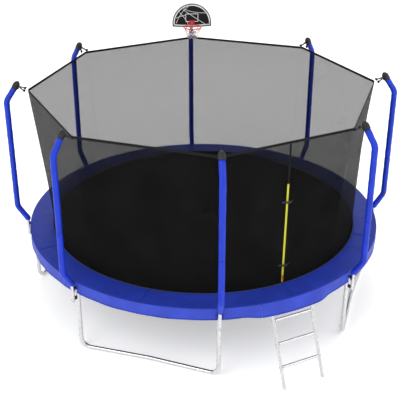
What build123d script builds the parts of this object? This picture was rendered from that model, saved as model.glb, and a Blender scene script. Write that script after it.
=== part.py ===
from build123d import *

import os
from math import atan2, cos, degrees, hypot, radians, sin, tan

# Round backyard trampoline, 14 ft class, with an eight-post safety enclosure, a ladder and
# a small basketball hoop. Millimetres, +Z up, origin on the ground under the mat's centre.
# "Azimuth" is the angle about Z from +X. Post 1 stands at the front (-Y), the others
# follow anticlockwise. A shape made "at azimuth 0" is drawn in the XZ plane, where X is
# the distance from the trampoline's centre, and is then turned about Z to its place.

# ---- layout ----
POSTS = 8
POST_STEP = 360 / POSTS
FIRST_POST = -90.0
HOOP_POST = 4
HALF_STEP = POST_STEP / 2

# ---- frame ring ----
FRAME_DIAMETER = 4270.0
FRAME_HEIGHT = 889.0
RAIL_TUBE = 38.0
RAIL_WALL = 1.5
RAIL_GAP = 3.0
TEE_WALL = 2.3
TEE_LENGTH = 120.0
TEE_STUB_DROP = 90.0
TUBE_FIT = 0.3

# ---- legs ----
LEG_TUBE = 48.0
LEG_WALL = 1.8
LEG_BEND = 110.0
LEG_SPLIT = 150.0
LEG_SPIGOT = 60.0
BASE_BOW = 29.0
BASE_BOW_BEND = 400.0
LEG_SCREW_RISE = 32.0
LEG_SCREW_RADIUS = 3.0
LEG_SCREW_HEAD = 7.0

# ---- enclosure posts ----
POLE_TUBE = 38.0
POLE_WALL = 1.5
POLE_STANDOFF = 29.0
POLE_BOTTOM = 668.0
POLE_OUT_START = 890.0
POLE_OUT_END = (2297.0, 1066.0)
POLE_IN_START = (2288.0, 2432.0)
POLE_TIP_LEAN = 34.5
POLE_TIP_LENGTH = 230.0
POLE_BENDS = (80.0, 120.0, 130.0)
POLE_BOLT_HEIGHTS = (692.0, 818.0)
BOLT_RADIUS = 4.0
BOLT_CLEARANCE = 0.2
BOLT_HEAD_RADIUS = 8.0
BOLT_HEAD = 5.5
SPACER_WIDTH = 26.0
SPACER_HEIGHT = 30.0
SADDLE_GAP = 0.05
PLUG_LENGTH = 14.0

# ---- foam sleeves and caps ----
SLEEVE_OUTER = 70.0
SLEEVE_BOTTOM = 872.0
SLEEVE_JOINT = 1570.0
SLEEVE_GAP = 0.4
SLEEVE_TIP = 190.0
SLEEVE_BORE_GAP = 0.4
CAP_RADIUS = 38.5
CAP_LENGTH = 96.0
CAP_GAP = 0.3
LUG_WIDTH = 56.0
LUG_THICK = 7.0
LUG_REACH = 58.0
LUG_AT = 225.0
CAP_SCREW_AT = 203.0
CAP_SCREW_RADIUS = 2.5
CAP_SCREW_HEAD = 7.0

# ---- mat, springs and spring hooks ----
MAT_RADIUS = 1890.0
MAT_MID_Z = 866.0
MAT_THICK = 3.0
MAT_HEM_THICK = 7.0
MAT_HEM_WIDTH = 45.0
SPRINGS = 80
SPRING_Z = 870.0
SPRING_COIL = 23.0
SPRING_WIRE = 3.5
SPRING_WALL = 2.0
SPRING_BAR = 2.6
COIL_INNER_END = 1950.0
COIL_OUTER_END = 2062.0
RING_WIRE = 4.0
RING_BASE = 1895.0
RING_TIP = 1912.0
RING_HALF_BASE = 20.0
RING_HALF_TIP = 7.0
RING_BEND = 4.0
TAB_DEPTH = 10.0
TAB_WIDTH = 24.0
SOFT_GAP = 0.3
HOLE_INSET = 13.0
HOLE_RADIUS = 2.5
HOOK_TOP = 886.5
HOOK_BEND = 4.0
HOOK_DEPTH = 9.0

# ---- safety pad ----
PAD_INNER = 1861.0
PAD_OUTER = 2144.0
PAD_THICK = 12.0
SKIRT_THICK = 3.0
SKIRT_DROP = 148.0
PAD_EDGE = 10.0
SEAM_GAP = 0.3
POLE_SLOT = 32.0
POLE_SLOT_RISE = 20.0

# ---- safety net ----
NET_CORNER = 2030.0
NET_FOOT = 1846.0
NET_TOP = 2540.0
NET_THICK = 2.0
WEBBING_HEIGHT = 28.0
WEBBING_THICK = 5.0
WEBBING_CORNER = 60.0
HEM_HEIGHT = 30.0
HEM_THICK = 2.0
HEM_GAP = 0.5
STRAP_WIDTH = 24.0
STRAP_THICK = 2.0
STRAP_INNER = 8.0
STRAP_SPLAY = 43.0
STRAP_RUN = 175.0
HOOP_STRAP_AT = 135.0

# ---- net door: zip and buckles ----
ZIP_AZIMUTH = -67.1
ZIP_BOTTOM = 906.0
ZIP_YELLOW_TOP = 2093.0
ZIP_WIDTH = 26.0
ZIP_THICK = 1.6
TEETH_WIDTH = 5.0
TEETH_THICK = 2.0
SLIDER_BOTTOM = 962.0
SLIDER_WIDTH = 16.0
SLIDER_HEIGHT = 28.0
SLIDER_THICK = 7.0
PULL_WIDTH = 12.0
PULL_LENGTH = 48.0
PULL_THICK = 2.4
PIN_RADIUS = 1.6
PIN_FIT = 0.05
BUCKLE_HEIGHTS = (1127.0, 1891.0)
BUCKLE_STANDOFF = 17.0
BUCKLE_THICK = 12.0
BUCKLE_WIDTH = 24.0
SOCKET_LENGTH = 34.0
SOCKET_DEPTH = 25.0
TONGUE_LENGTH = 14.0
PRONG_REACH = 20.0
PRONG_WIDTH = 5.0
BUCKLE_WALL = 2.0
BUCKLE_FIT = 0.3
TAB_RUN = 46.0
TAB_FOOT = 24.0
TAB_THICK = 2.0

# ---- ladder ----
LADDER_AZIMUTH = -68.6
LADDER_FOOT = 2464.0
LADDER_TUBE = 35.0
LADDER_WALL = 1.5
LADDER_SPACING = 475.0
RUNG_TUBE = 30.0
RUNG_WALL = 1.5
RUNGS = 3
FIRST_RUNG = 238.0
RUNG_PITCH = 256.0
RUNG_PLUG = 12.0
LADDER_TOP_GAP = 8.0
HOOK_FIT = 1.9
HOOK_THICK = 3.0
HOOK_WIDTH = 28.0
TANG_LENGTH = 62.0
TANG_THICK = 5.0
FLAP_SPAN = 19.0
FLAP_FLARE = 46.0

# ---- basketball hoop ----
BOARD_FACE = 2070.0
BOARD_WIDTH = 540.0
BOARD_BOTTOM = 2690.0
BOARD_HEIGHT = 328.0
BOARD_THICK = 8.0
BOARD_BOW = 16.0
BOARD_CORNER = 14.0
TRIM_WIDTH = 8.0
TRIM_THICK = 16.0
RIM_RADIUS = 120.0
RIM_WIRE = 10.0
RIM_Z = 2730.0
RIM_STANDOFF = 22.0
RIM_PLATE_WIDTH = 70.0
RIM_PLATE_HEIGHT = 62.0
RIM_PLATE_THICK = 4.0
RIM_ARM = 8.0
HOOP_NET_HEIGHT = 135.0
HOOP_NET_FOOT = 78.0
HOOP_NET_THICK = 2.0
BAND_PLACES = (110.0, 180.0)
BAND_WIDTH = 22.0
BAND_THICK = 4.0
BAR_WIDTH = 40.0
BAR_THICK = 6.0
BACK_PLATE_HEIGHT = 150.0
BACK_PLATE_WIDTH = 60.0
BACK_PLATE_THICK = 4.0
KNOB_RADIUS = 15.0
KNOB_THICK = 12.0
KNOB_LOBES = 6
KNOB_LOBE_RADIUS = 4.0
KNOB_SHANK = 3.0
BOSS_RADIUS = 8.0
BOSS_LENGTH = 13.0
HOOP_BOLT_RADIUS = 3.0
HOOP_BOLT_SPREAD = 20.0

# ---- worked out from the sizes above ----
RING_RADIUS = FRAME_DIAMETER / 2 - RAIL_TUBE / 2
RAIL_Z = FRAME_HEIGHT - RAIL_TUBE / 2
POLE_RADIUS = RING_RADIUS + LEG_TUBE / 2 + POLE_STANDOFF + POLE_TUBE / 2
BASE_Z = LEG_TUBE / 2
TIP_DIRECTION = (-sin(radians(POLE_TIP_LEAN)), cos(radians(POLE_TIP_LEAN)))
TIP_OUTWARD = (TIP_DIRECTION[1], -TIP_DIRECTION[0])
MAT_TOP = MAT_MID_Z + MAT_HEM_THICK / 2
NET_BOTTOM = MAT_TOP + SOFT_GAP
TEE_OUTER = RAIL_TUBE / 2 + TUBE_FIT + TEE_WALL
PAD_UNDER = RAIL_Z + TEE_OUTER + SOFT_GAP
PAD_TOP = PAD_UNDER + PAD_THICK
SKIRT_INNER = PAD_OUTER - SKIRT_THICK
SKIRT_BOTTOM = PAD_TOP - SKIRT_DROP
WEBBING_INNER = NET_CORNER * cos(radians(HALF_STEP)) - 1.5
WEBBING_OUTER = WEBBING_INNER + WEBBING_THICK
HOOK_X = (RING_RADIUS**2 - (LADDER_SPACING / 2) ** 2) ** 0.5
LADDER_RUN = hypot(LADDER_FOOT - HOOK_X, RAIL_Z)
LADDER_UP = ((HOOK_X - LADDER_FOOT) / LADDER_RUN, RAIL_Z / LADDER_RUN)
LADDER_OUT = (LADDER_UP[1], -LADDER_UP[0])
LADDER_RAIL_TOP = LADDER_RUN - RAIL_TUBE / 2 - LADDER_TOP_GAP
BOARD_BACK = BOARD_FACE + BOARD_THICK
RIM_CENTRE = BOARD_FACE - RIM_STANDOFF - RIM_RADIUS - RIM_WIRE / 2

all_posts = [FIRST_POST + POST_STEP * i for i in range(POSTS)]
cap_posts = [a for i, a in enumerate(all_posts) if i != HOOP_POST]
hoop_azimuth = all_posts[HOOP_POST]
spring_step = 360 / SPRINGS


def turned(angle):
    """Place a shape made at azimuth 0 at another azimuth."""
    return Location((0, 0, 0), (0, 0, angle))


def group_at(shape, angles):
    """Copies of a shape made at azimuth 0, one at each azimuth."""
    with BuildPart() as group:
        with Locations(*[turned(angle) for angle in angles]):
            add(shape)
    return group.part


def save(piece, label):
    """Label a finished piece and write it as its own STEP file."""
    piece.label = label
    export_step(piece, f"parts/{label}.step")


def tube_along(points, bends, outer, bore=0.0):
    """Round tube or bar along a polyline with rounded corners."""
    with BuildPart() as tube:
        with BuildLine() as path:
            FilletPolyline(*points, radius=bends)
        with BuildSketch(Plane(origin=path.line @ 0, z_dir=path.line % 0)):
            Circle(outer / 2)
            if bore:
                Circle(bore / 2, mode=Mode.SUBTRACT)
        sweep(path=path.line)
    return tube.part


def in_section(point):
    """A (distance from centre, height) pair as a point at azimuth 0."""
    return (point[0], 0, point[1])


def tip_point(along, outward=0.0):
    """Point on a post's inward-leaning top: along it from its bend, and off its axis."""
    bend = POLE_IN_START
    return (
        bend[0] + TIP_DIRECTION[0] * along + TIP_OUTWARD[0] * outward,
        bend[1] + TIP_DIRECTION[1] * along + TIP_OUTWARD[1] * outward,
    )


def ladder_point(along, outward=0.0):
    """Point in the ladder's section: up its slope from the foot, and out from its plane."""
    return (
        LADDER_FOOT + LADDER_UP[0] * along + LADDER_OUT[0] * outward,
        LADDER_UP[1] * along + LADDER_OUT[1] * outward,
    )


def radial_bore(radius, height):
    """Cylinder along X at azimuth 0 that drills a post bolt's hole."""
    with BuildPart() as bore:
        with BuildSketch(Plane.YZ.offset(RING_RADIUS - LEG_TUBE)):
            with Locations((0, height)):
                Circle(radius)
        extrude(amount=POLE_RADIUS - RING_RADIUS + LEG_TUBE + POLE_TUBE)
    return bore.part


def post_bolt_bores():
    """Both bolt holes of one post, as one tool at azimuth 0."""
    with BuildPart() as bores:
        for height in POLE_BOLT_HEIGHTS:
            add(radial_bore(BOLT_RADIUS + BOLT_CLEARANCE, height))
    return bores.part


# ---------------------------------------------------------------- frame ring
def make_top_rails():
    """Eight curved rails with a row of spring holes on the inner top side."""
    half_gap = degrees(RAIL_GAP / 2 / RING_RADIUS)
    with BuildPart() as rail:
        with BuildSketch(Plane.XZ):
            with Locations((RING_RADIUS, RAIL_Z)):
                Circle(RAIL_TUBE / 2)
                Circle(RAIL_TUBE / 2 - RAIL_WALL, mode=Mode.SUBTRACT)
        revolve(axis=Axis.Z, revolution_arc=POST_STEP - 2 * half_gap)
        first = spring_step / 2 - half_gap
        with Locations((0, 0, RAIL_Z)):
            with PolarLocations(
                RING_RADIUS - HOLE_INSET, SPRINGS // POSTS, first, POST_STEP
            ):
                Cylinder(
                    HOLE_RADIUS,
                    RAIL_TUBE,
                    align=(Align.CENTER, Align.CENTER, Align.MIN),
                    mode=Mode.SUBTRACT,
                )
    return group_at(rail.part, [a + half_gap for a in all_posts])


def make_rail_tees():
    """Tee sockets that join two rails and stand on a leg."""
    half_arc = degrees(TEE_LENGTH / 2 / RING_RADIUS)
    sleeve_bore = RAIL_TUBE / 2 + TUBE_FIT
    stub_radius = LEG_TUBE / 2 - LEG_WALL - TUBE_FIT
    with BuildPart() as tee:
        with BuildSketch(Plane.XZ):
            with Locations((RING_RADIUS, RAIL_Z)):
                Circle(TEE_OUTER)
        revolve(axis=Axis.Z, revolution_arc=2 * half_arc)
        with Locations(turned(half_arc)):
            with Locations((RING_RADIUS, 0, RAIL_Z)):
                Cylinder(
                    stub_radius,
                    TEE_STUB_DROP,
                    align=(Align.CENTER, Align.CENTER, Align.MAX),
                )
                Cylinder(
                    stub_radius - TEE_WALL,
                    TEE_STUB_DROP,
                    align=(Align.CENTER, Align.CENTER, Align.MAX),
                    mode=Mode.SUBTRACT,
                )
            add(post_bolt_bores(), mode=Mode.SUBTRACT)
        with BuildSketch(Plane.XZ):
            with Locations((RING_RADIUS, RAIL_Z)):
                Circle(sleeve_bore)
        revolve(axis=Axis.Z, revolution_arc=2 * half_arc, mode=Mode.SUBTRACT)
    return group_at(tee.part, [a - half_arc for a in all_posts])


# ---------------------------------------------------------------- legs
def make_leg_base(first_azimuth):
    """U-shaped foot that carries two neighbouring uprights."""

    def at(radius, azimuth, height):
        angle = radians(azimuth)
        return (radius * cos(angle), radius * sin(angle), height)

    second_azimuth = first_azimuth + POST_STEP
    middle_azimuth = first_azimuth + HALF_STEP
    middle_radius = RING_RADIUS * cos(radians(HALF_STEP)) - BASE_BOW
    path = [
        at(RING_RADIUS, first_azimuth, LEG_SPLIT),
        at(RING_RADIUS, first_azimuth, BASE_Z),
        at(middle_radius, middle_azimuth, BASE_Z),
        at(RING_RADIUS, second_azimuth, BASE_Z),
        at(RING_RADIUS, second_azimuth, LEG_SPLIT),
    ]
    bore = LEG_TUBE - 2 * LEG_WALL
    spigot = bore - 2 * TUBE_FIT
    collar_depth = 20.0
    with BuildPart() as base:
        add(tube_along(path, [LEG_BEND, BASE_BOW_BEND, LEG_BEND], LEG_TUBE, bore))
        for azimuth in (first_azimuth, second_azimuth):
            x, y, z = at(RING_RADIUS, azimuth, LEG_SPLIT)
            with BuildSketch(Plane((x, y, z - collar_depth))):
                Circle((bore + LEG_WALL) / 2)
                Circle(spigot / 2 - LEG_WALL, mode=Mode.SUBTRACT)
            extrude(amount=collar_depth)
            with BuildSketch(Plane((x, y, z))):
                Circle(spigot / 2)
                Circle(spigot / 2 - LEG_WALL, mode=Mode.SUBTRACT)
            extrude(amount=LEG_SPIGOT)
            with Locations(turned(azimuth)):
                add(leg_screw_bore(), mode=Mode.SUBTRACT)
    return base.part


def leg_screw_bore():
    """Hole for a leg screw, from outside into the middle of the leg, at azimuth 0."""
    with BuildPart() as bore:
        with BuildSketch(Plane.YZ.offset(RING_RADIUS)):
            with Locations((0, LEG_SPLIT + LEG_SCREW_RISE)):
                Circle(LEG_SCREW_RADIUS + BOLT_CLEARANCE)
        extrude(amount=LEG_TUBE)
    return bore.part


def make_leg_uprights():
    """Straight tubes from the leg bases up to the tee sockets."""
    top = RAIL_Z - TEE_OUTER - TUBE_FIT
    with BuildPart() as upright:
        with BuildSketch(Plane((RING_RADIUS, 0, LEG_SPLIT))):
            Circle(LEG_TUBE / 2)
            Circle(LEG_TUBE / 2 - LEG_WALL, mode=Mode.SUBTRACT)
        extrude(amount=top - LEG_SPLIT)
        add(post_bolt_bores(), mode=Mode.SUBTRACT)
        add(leg_screw_bore(), mode=Mode.SUBTRACT)
    return group_at(upright.part, all_posts)


def make_leg_screws():
    """Screws that lock each upright to its base."""
    with BuildPart() as screw:
        start = RING_RADIUS + LEG_TUBE / 2 - LEG_WALL - 8
        with BuildSketch(Plane.YZ.offset(start)):
            with Locations((0, LEG_SPLIT + LEG_SCREW_RISE)):
                Circle(LEG_SCREW_RADIUS)
        extrude(amount=RING_RADIUS + LEG_TUBE / 2 - start)
        with BuildSketch(Plane.YZ.offset(RING_RADIUS + LEG_TUBE / 2)):
            with Locations((0, LEG_SPLIT + LEG_SCREW_RISE)):
                RegularPolygon(LEG_SCREW_HEAD, 6)
        extrude(amount=LEG_SCREW_RADIUS + 1)
    return group_at(screw.part, all_posts)


# ---------------------------------------------------------------- enclosure posts
def pole_path():
    """Corner points of a post's centre line at azimuth 0."""
    return [
        (POLE_RADIUS, 0, POLE_BOTTOM),
        (POLE_RADIUS, 0, POLE_OUT_START),
        in_section(POLE_OUT_END),
        in_section(POLE_IN_START),
        in_section(tip_point(POLE_TIP_LENGTH)),
    ]


def make_pole():
    """Bent steel post tube at azimuth 0, drilled for its two bolts."""
    with BuildPart() as pole:
        bore = POLE_TUBE - 2 * POLE_WALL
        add(tube_along(pole_path(), POLE_BENDS, POLE_TUBE, bore))
        add(post_bolt_bores(), mode=Mode.SUBTRACT)
    return pole.part


def make_pole_spacers():
    """Saddle blocks that hold each post off its leg, drilled for the bolts."""
    start = RING_RADIUS + LEG_TUBE / 4
    end = POLE_RADIUS - POLE_TUBE / 4
    with BuildPart() as spacers:
        for height in POLE_BOLT_HEIGHTS:
            with Locations(((start + end) / 2, 0, height)):
                Box(end - start, SPACER_WIDTH, SPACER_HEIGHT)
        for x, tube in ((RING_RADIUS, LEG_TUBE), (POLE_RADIUS, POLE_TUBE)):
            with Locations((x, 0, 0)):
                Cylinder(
                    tube / 2 + SADDLE_GAP,
                    FRAME_HEIGHT,
                    align=(Align.CENTER, Align.CENTER, Align.MIN),
                    mode=Mode.SUBTRACT,
                )
        add(post_bolt_bores(), mode=Mode.SUBTRACT)
    return group_at(spacers.part, all_posts)


def make_pole_bolts():
    """Bolts through post, spacer and leg, with a nut inside of the leg."""
    outer = POLE_RADIUS + POLE_TUBE / 2 + SADDLE_GAP
    inner = RING_RADIUS - LEG_TUBE / 2 - SADDLE_GAP
    with BuildPart() as bolts:
        for height in POLE_BOLT_HEIGHTS:
            with BuildSketch(Plane.YZ.offset(inner - BOLT_HEAD - 4)):
                with Locations((0, height)):
                    Circle(BOLT_RADIUS)
            extrude(amount=outer - inner + BOLT_HEAD + 4)
            with BuildSketch(Plane.YZ.offset(outer)):
                with Locations((0, height)):
                    Circle(BOLT_HEAD_RADIUS)
            extrude(amount=BOLT_HEAD)
            with BuildSketch(Plane.YZ.offset(inner - BOLT_HEAD)):
                with Locations((0, height)):
                    RegularPolygon(BOLT_HEAD_RADIUS, 6)
            extrude(amount=BOLT_HEAD)
    return group_at(bolts.part, all_posts)


def make_pole_plugs():
    """Plastic plugs in the open lower ends of the posts and in the hoop post's top."""
    bore = POLE_TUBE / 2 - POLE_WALL - SADDLE_GAP
    with BuildPart() as plug:
        with Locations((POLE_RADIUS, 0, POLE_BOTTOM)):
            Cylinder(bore, PLUG_LENGTH, align=(Align.CENTER, Align.CENTER, Align.MIN))
            Cylinder(POLE_TUBE / 2, 3, align=(Align.CENTER, Align.CENTER, Align.MAX))
    with BuildPart() as top_plug:
        for start, end, radius in (
            (POLE_TIP_LENGTH - PLUG_LENGTH, POLE_TIP_LENGTH, bore),
            (POLE_TIP_LENGTH, POLE_TIP_LENGTH + 3, POLE_TUBE / 2),
        ):
            foot = in_section(tip_point(start))
            with BuildSketch(Plane(foot, z_dir=in_section(TIP_DIRECTION))):
                Circle(radius)
            extrude(amount=end - start)
    with BuildPart() as plugs:
        add(group_at(plug.part, all_posts))
        with Locations(turned(hoop_azimuth)):
            add(top_plug.part)
    return plugs.part


# ---------------------------------------------------------------- sleeves and caps
def post_line_at(height):
    """Point of the post's long straight run at a height."""
    low, high = POLE_OUT_END, POLE_IN_START
    share = (height - low[1]) / (high[1] - low[1])
    return (low[0] + (high[0] - low[0]) * share, height)


def make_lower_sleeves():
    """Foam sleeves over the lower bend of each post."""
    path = [
        (POLE_RADIUS, 0, SLEEVE_BOTTOM - POLE_BENDS[0] * tan(radians(8))),
        (POLE_RADIUS, 0, POLE_OUT_START),
        in_section(POLE_OUT_END),
        in_section(post_line_at(SLEEVE_JOINT - SLEEVE_GAP)),
    ]
    bore = POLE_TUBE + 2 * SLEEVE_BORE_GAP
    with BuildPart() as sleeve:
        add(tube_along(path, POLE_BENDS[:2], SLEEVE_OUTER, bore))
        split(bisect_by=Plane.XY.offset(SLEEVE_BOTTOM), keep=Keep.TOP)
    return group_at(sleeve.part, all_posts)


def make_upper_sleeves():
    """Foam sleeves over the upper bend of each post, up to the cap."""
    path = [
        in_section(post_line_at(SLEEVE_JOINT)),
        in_section(POLE_IN_START),
        in_section(tip_point(SLEEVE_TIP)),
    ]
    bore = POLE_TUBE + 2 * SLEEVE_BORE_GAP
    sleeve = tube_along(path, POLE_BENDS[2], SLEEVE_OUTER, bore)
    return group_at(sleeve, all_posts)


def net_corner_point():
    """Where the straps meet the net's corner, at azimuth 0."""
    return (WEBBING_OUTER / cos(radians(HALF_STEP)), NET_TOP + WEBBING_HEIGHT / 2)


def strap_frame(along):
    """Start on a post's leaning top, and direction from it towards the net's corner."""
    start = tip_point(along)
    corner = net_corner_point()
    run = hypot(corner[0] - start[0], corner[1] - start[1])
    return start, ((corner[0] - start[0]) / run, (corner[1] - start[1]) / run)


def cap_screw_plane(outward):
    """Plane across a cap screw, on the post top's inner side."""
    return Plane(
        in_section(tip_point(CAP_SCREW_AT, -outward)),
        z_dir=(-TIP_OUTWARD[0], 0, -TIP_OUTWARD[1]),
    )


def make_pole_caps():
    """Domed plastic caps over the post tops, each with a lug for the net straps."""
    bend = in_section(POLE_IN_START)
    section = Plane(bend, x_dir=in_section(TIP_OUTWARD), z_dir=(0, -1, 0))
    bore = POLE_TUBE / 2 + CAP_GAP
    base = SLEEVE_TIP + CAP_GAP
    top = base + CAP_LENGTH
    bore_top = POLE_TIP_LENGTH + CAP_GAP
    start, direction = strap_frame(LUG_AT)
    with BuildPart() as cap:
        with BuildSketch(section):
            with BuildLine():
                Polyline((bore, base), (CAP_RADIUS, base), (CAP_RADIUS, base + 25))
                ThreePointArc((CAP_RADIUS, base + 25), (29, base + 72), (0, top))
                Polyline((0, top), (0, bore_top), (bore, bore_top), (bore, base))
            make_face()
        revolve(axis=Axis(bend, in_section(TIP_DIRECTION)))
        lug_plane = Plane(
            in_section(start), x_dir=in_section(direction), z_dir=(0, -1, 0)
        )
        with BuildSketch(lug_plane):
            with Locations(((CAP_RADIUS - 11 + LUG_REACH) / 2, 0)):
                Rectangle(LUG_REACH - CAP_RADIUS + 11, LUG_THICK)
        extrude(amount=LUG_WIDTH / 2, both=True)
        with BuildSketch(cap_screw_plane(POLE_TUBE / 2)):
            Circle(CAP_SCREW_RADIUS + BOLT_CLEARANCE)
        extrude(amount=CAP_RADIUS, mode=Mode.SUBTRACT)
    return group_at(cap.part, cap_posts)


def make_cap_screws():
    """Thumb screws in the caps' collars."""
    with BuildPart() as screw:
        with BuildSketch(cap_screw_plane(POLE_TUBE / 2 + 4)):
            Circle(CAP_SCREW_RADIUS)
        extrude(amount=CAP_RADIUS - POLE_TUBE / 2 - 3)
        with BuildSketch(cap_screw_plane(CAP_RADIUS + SADDLE_GAP)):
            Circle(CAP_SCREW_HEAD)
        extrude(amount=9)
    return group_at(screw.part, cap_posts)


# ---------------------------------------------------------------- mat and springs
def make_mat():
    """Round woven jumping mat with a thicker sewn hem."""
    thin = MAT_THICK / 2
    thick = MAT_HEM_THICK / 2
    hem = MAT_RADIUS - MAT_HEM_WIDTH
    with BuildPart() as mat:
        with BuildSketch(Plane.XY.offset(MAT_MID_Z - thin)):
            Circle(MAT_RADIUS)
        extrude(amount=MAT_THICK)
        with BuildSketch(Plane.XY.offset(MAT_MID_Z - thick)):
            Circle(MAT_RADIUS)
            Circle(hem, mode=Mode.SUBTRACT)
        extrude(amount=MAT_HEM_THICK)
    return mat.part


def spring_azimuths():
    return [FIRST_POST + spring_step * (i + 0.5) for i in range(SPRINGS)]


def make_mat_ring_tabs():
    """Webbing tabs at the mat's edge, each sewn round a ring's base wire."""
    inner = MAT_RADIUS + SOFT_GAP
    with BuildPart() as tab:
        with Locations((inner, 0, MAT_MID_Z)):
            Box(
                TAB_DEPTH,
                TAB_WIDTH,
                MAT_HEM_THICK,
                align=(Align.MIN, Align.CENTER, Align.CENTER),
            )
        with Locations((RING_BASE, 0, MAT_MID_Z)):
            Cylinder(
                RING_WIRE / 2 + SOFT_GAP,
                TAB_WIDTH,
                rotation=(90, 0, 0),
                mode=Mode.SUBTRACT,
            )
    return group_at(tab.part, spring_azimuths())


def make_mat_rings():
    """Closed steel wire rings that the springs hook into."""
    with BuildPart() as ring:
        with BuildLine(Plane.XY.offset(MAT_MID_Z)) as path:
            FilletPolyline(
                (RING_BASE, 0),
                (RING_BASE, RING_HALF_BASE),
                (RING_TIP, RING_HALF_TIP),
                (RING_TIP, -RING_HALF_TIP),
                (RING_BASE, -RING_HALF_BASE),
                (RING_BASE, -1),
                radius=RING_BEND,
            )
        with BuildSketch(Plane(origin=path.line @ 0, z_dir=path.line % 0)):
            Circle(RING_WIRE / 2)
        sweep(path=path.line)
    return group_at(ring.part, spring_azimuths())


def make_springs():
    """Zinc-plated extension springs between the mat's rings and the frame rail."""
    wire = SPRING_WIRE / 2
    hook_in = RING_TIP - RING_WIRE / 2 - wire - SOFT_GAP
    hook_out = RING_RADIUS - HOLE_INSET
    bar = SPRING_COIL / 2 - SPRING_WALL / 2
    inner_hook = [
        (COIL_INNER_END + SPRING_BAR, 0, SPRING_Z),
        (hook_in, 0, SPRING_Z),
        (hook_in, 0, SPRING_Z - HOOK_DEPTH),
    ]
    outer_hook = [
        (COIL_OUTER_END - SPRING_BAR, 0, SPRING_Z),
        (hook_out - 25, 0, SPRING_Z),
        (hook_out - 17, 0, HOOK_TOP),
        (hook_out, 0, HOOK_TOP),
        (hook_out, 0, HOOK_TOP - HOOK_DEPTH),
    ]
    with BuildPart() as spring:
        with BuildSketch(Plane.YZ.offset(COIL_INNER_END)):
            with Locations((0, SPRING_Z)):
                Circle(SPRING_COIL / 2)
                Circle(SPRING_COIL / 2 - SPRING_WALL, mode=Mode.SUBTRACT)
        extrude(amount=COIL_OUTER_END - COIL_INNER_END)
        for x in (COIL_INNER_END + SPRING_BAR, COIL_OUTER_END - SPRING_BAR):
            with Locations((x, 0, SPRING_Z)):
                Box(SPRING_BAR, 2 * bar, 2 * SPRING_BAR)
        add(tube_along(inner_hook, HOOK_BEND, SPRING_WIRE))
        add(tube_along(outer_hook, HOOK_BEND, SPRING_WIRE))
    return group_at(spring.part, spring_azimuths())


# ---------------------------------------------------------------- safety pad
def sector(inner, outer, low, high, centre, span):
    """Part of a flat ring, as a cutting tool round a given azimuth."""
    with BuildPart() as tool:
        with BuildSketch(Plane.XZ):
            with BuildLine():
                Polyline(
                    (inner, low), (outer, low), (outer, high), (inner, high), close=True
                )
            make_face()
        revolve(axis=Axis.Z, revolution_arc=span)
    return tool.part.moved(turned(centre - span / 2))


def make_safety_pad():
    """Padded cover over the springs with a hanging skirt, sewn from eight lengths."""
    span = POST_STEP - degrees(SEAM_GAP / PAD_OUTER)
    with BuildPart() as length:
        with BuildSketch(Plane.XZ):
            with BuildLine():
                Polyline(
                    (PAD_INNER, PAD_UNDER),
                    (SKIRT_INNER, PAD_UNDER),
                    (SKIRT_INNER, SKIRT_BOTTOM),
                    (PAD_OUTER, SKIRT_BOTTOM),
                    (PAD_OUTER, PAD_TOP - PAD_EDGE),
                )
                RadiusArc(
                    (PAD_OUTER, PAD_TOP - PAD_EDGE),
                    (PAD_OUTER - PAD_EDGE, PAD_TOP),
                    -PAD_EDGE,
                )
                Polyline(
                    (PAD_OUTER - PAD_EDGE, PAD_TOP),
                    (PAD_INNER + PAD_EDGE / 2, PAD_TOP),
                    (PAD_INNER, PAD_TOP - PAD_EDGE / 2),
                    (PAD_INNER, PAD_UNDER),
                )
            make_face()
        revolve(axis=Axis.Z, revolution_arc=span)
    slot_top = POLE_BOLT_HEIGHTS[1] + POLE_SLOT_RISE
    with BuildPart() as pad:
        add(group_at(length.part, [a - span / 2 for a in all_posts]))
        with PolarLocations(PAD_OUTER, POSTS, FIRST_POST):
            with Locations((0, 0, SKIRT_BOTTOM)):
                Box(
                    4 * SKIRT_THICK,
                    POLE_SLOT,
                    slot_top - SKIRT_BOTTOM,
                    align=(Align.CENTER, Align.CENTER, Align.MIN),
                    mode=Mode.SUBTRACT,
                )
        add(
            sector(
                SKIRT_INNER - 1,
                PAD_OUTER + 1,
                SKIRT_BOTTOM - 1,
                PAD_UNDER - SOFT_GAP,
                LADDER_AZIMUTH,
                FLAP_SPAN + degrees(2 * SEAM_GAP / PAD_OUTER),
            ),
            mode=Mode.SUBTRACT,
        )
        pocket_top = RAIL_Z + RAIL_TUBE / 2 + HOOK_FIT + HOOK_THICK + SOFT_GAP
        with Locations(turned(LADDER_AZIMUTH)):
            for side in (-1, 1):
                with Locations((HOOK_X, side * LADDER_SPACING / 2, RAIL_Z)):
                    Box(
                        RAIL_TUBE,
                        HOOK_WIDTH + 10,
                        pocket_top - RAIL_Z,
                        align=(Align.CENTER, Align.CENTER, Align.MIN),
                        mode=Mode.SUBTRACT,
                    )
    return pad.part


def make_pad_flap():
    """Loose length of the skirt that lies over the ladder's rails."""
    top = PAD_UNDER - 2 * SOFT_GAP
    with BuildPart() as flap:
        with BuildSketch(Plane.XZ):
            with BuildLine():
                Polyline(
                    (SKIRT_INNER, top),
                    (PAD_OUTER, top),
                    (PAD_OUTER + FLAP_FLARE, SKIRT_BOTTOM),
                    (SKIRT_INNER + FLAP_FLARE, SKIRT_BOTTOM),
                    close=True,
                )
            make_face()
        revolve(axis=Axis.Z, revolution_arc=FLAP_SPAN)
    return flap.part.moved(turned(LADDER_AZIMUTH - FLAP_SPAN / 2))


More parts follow.
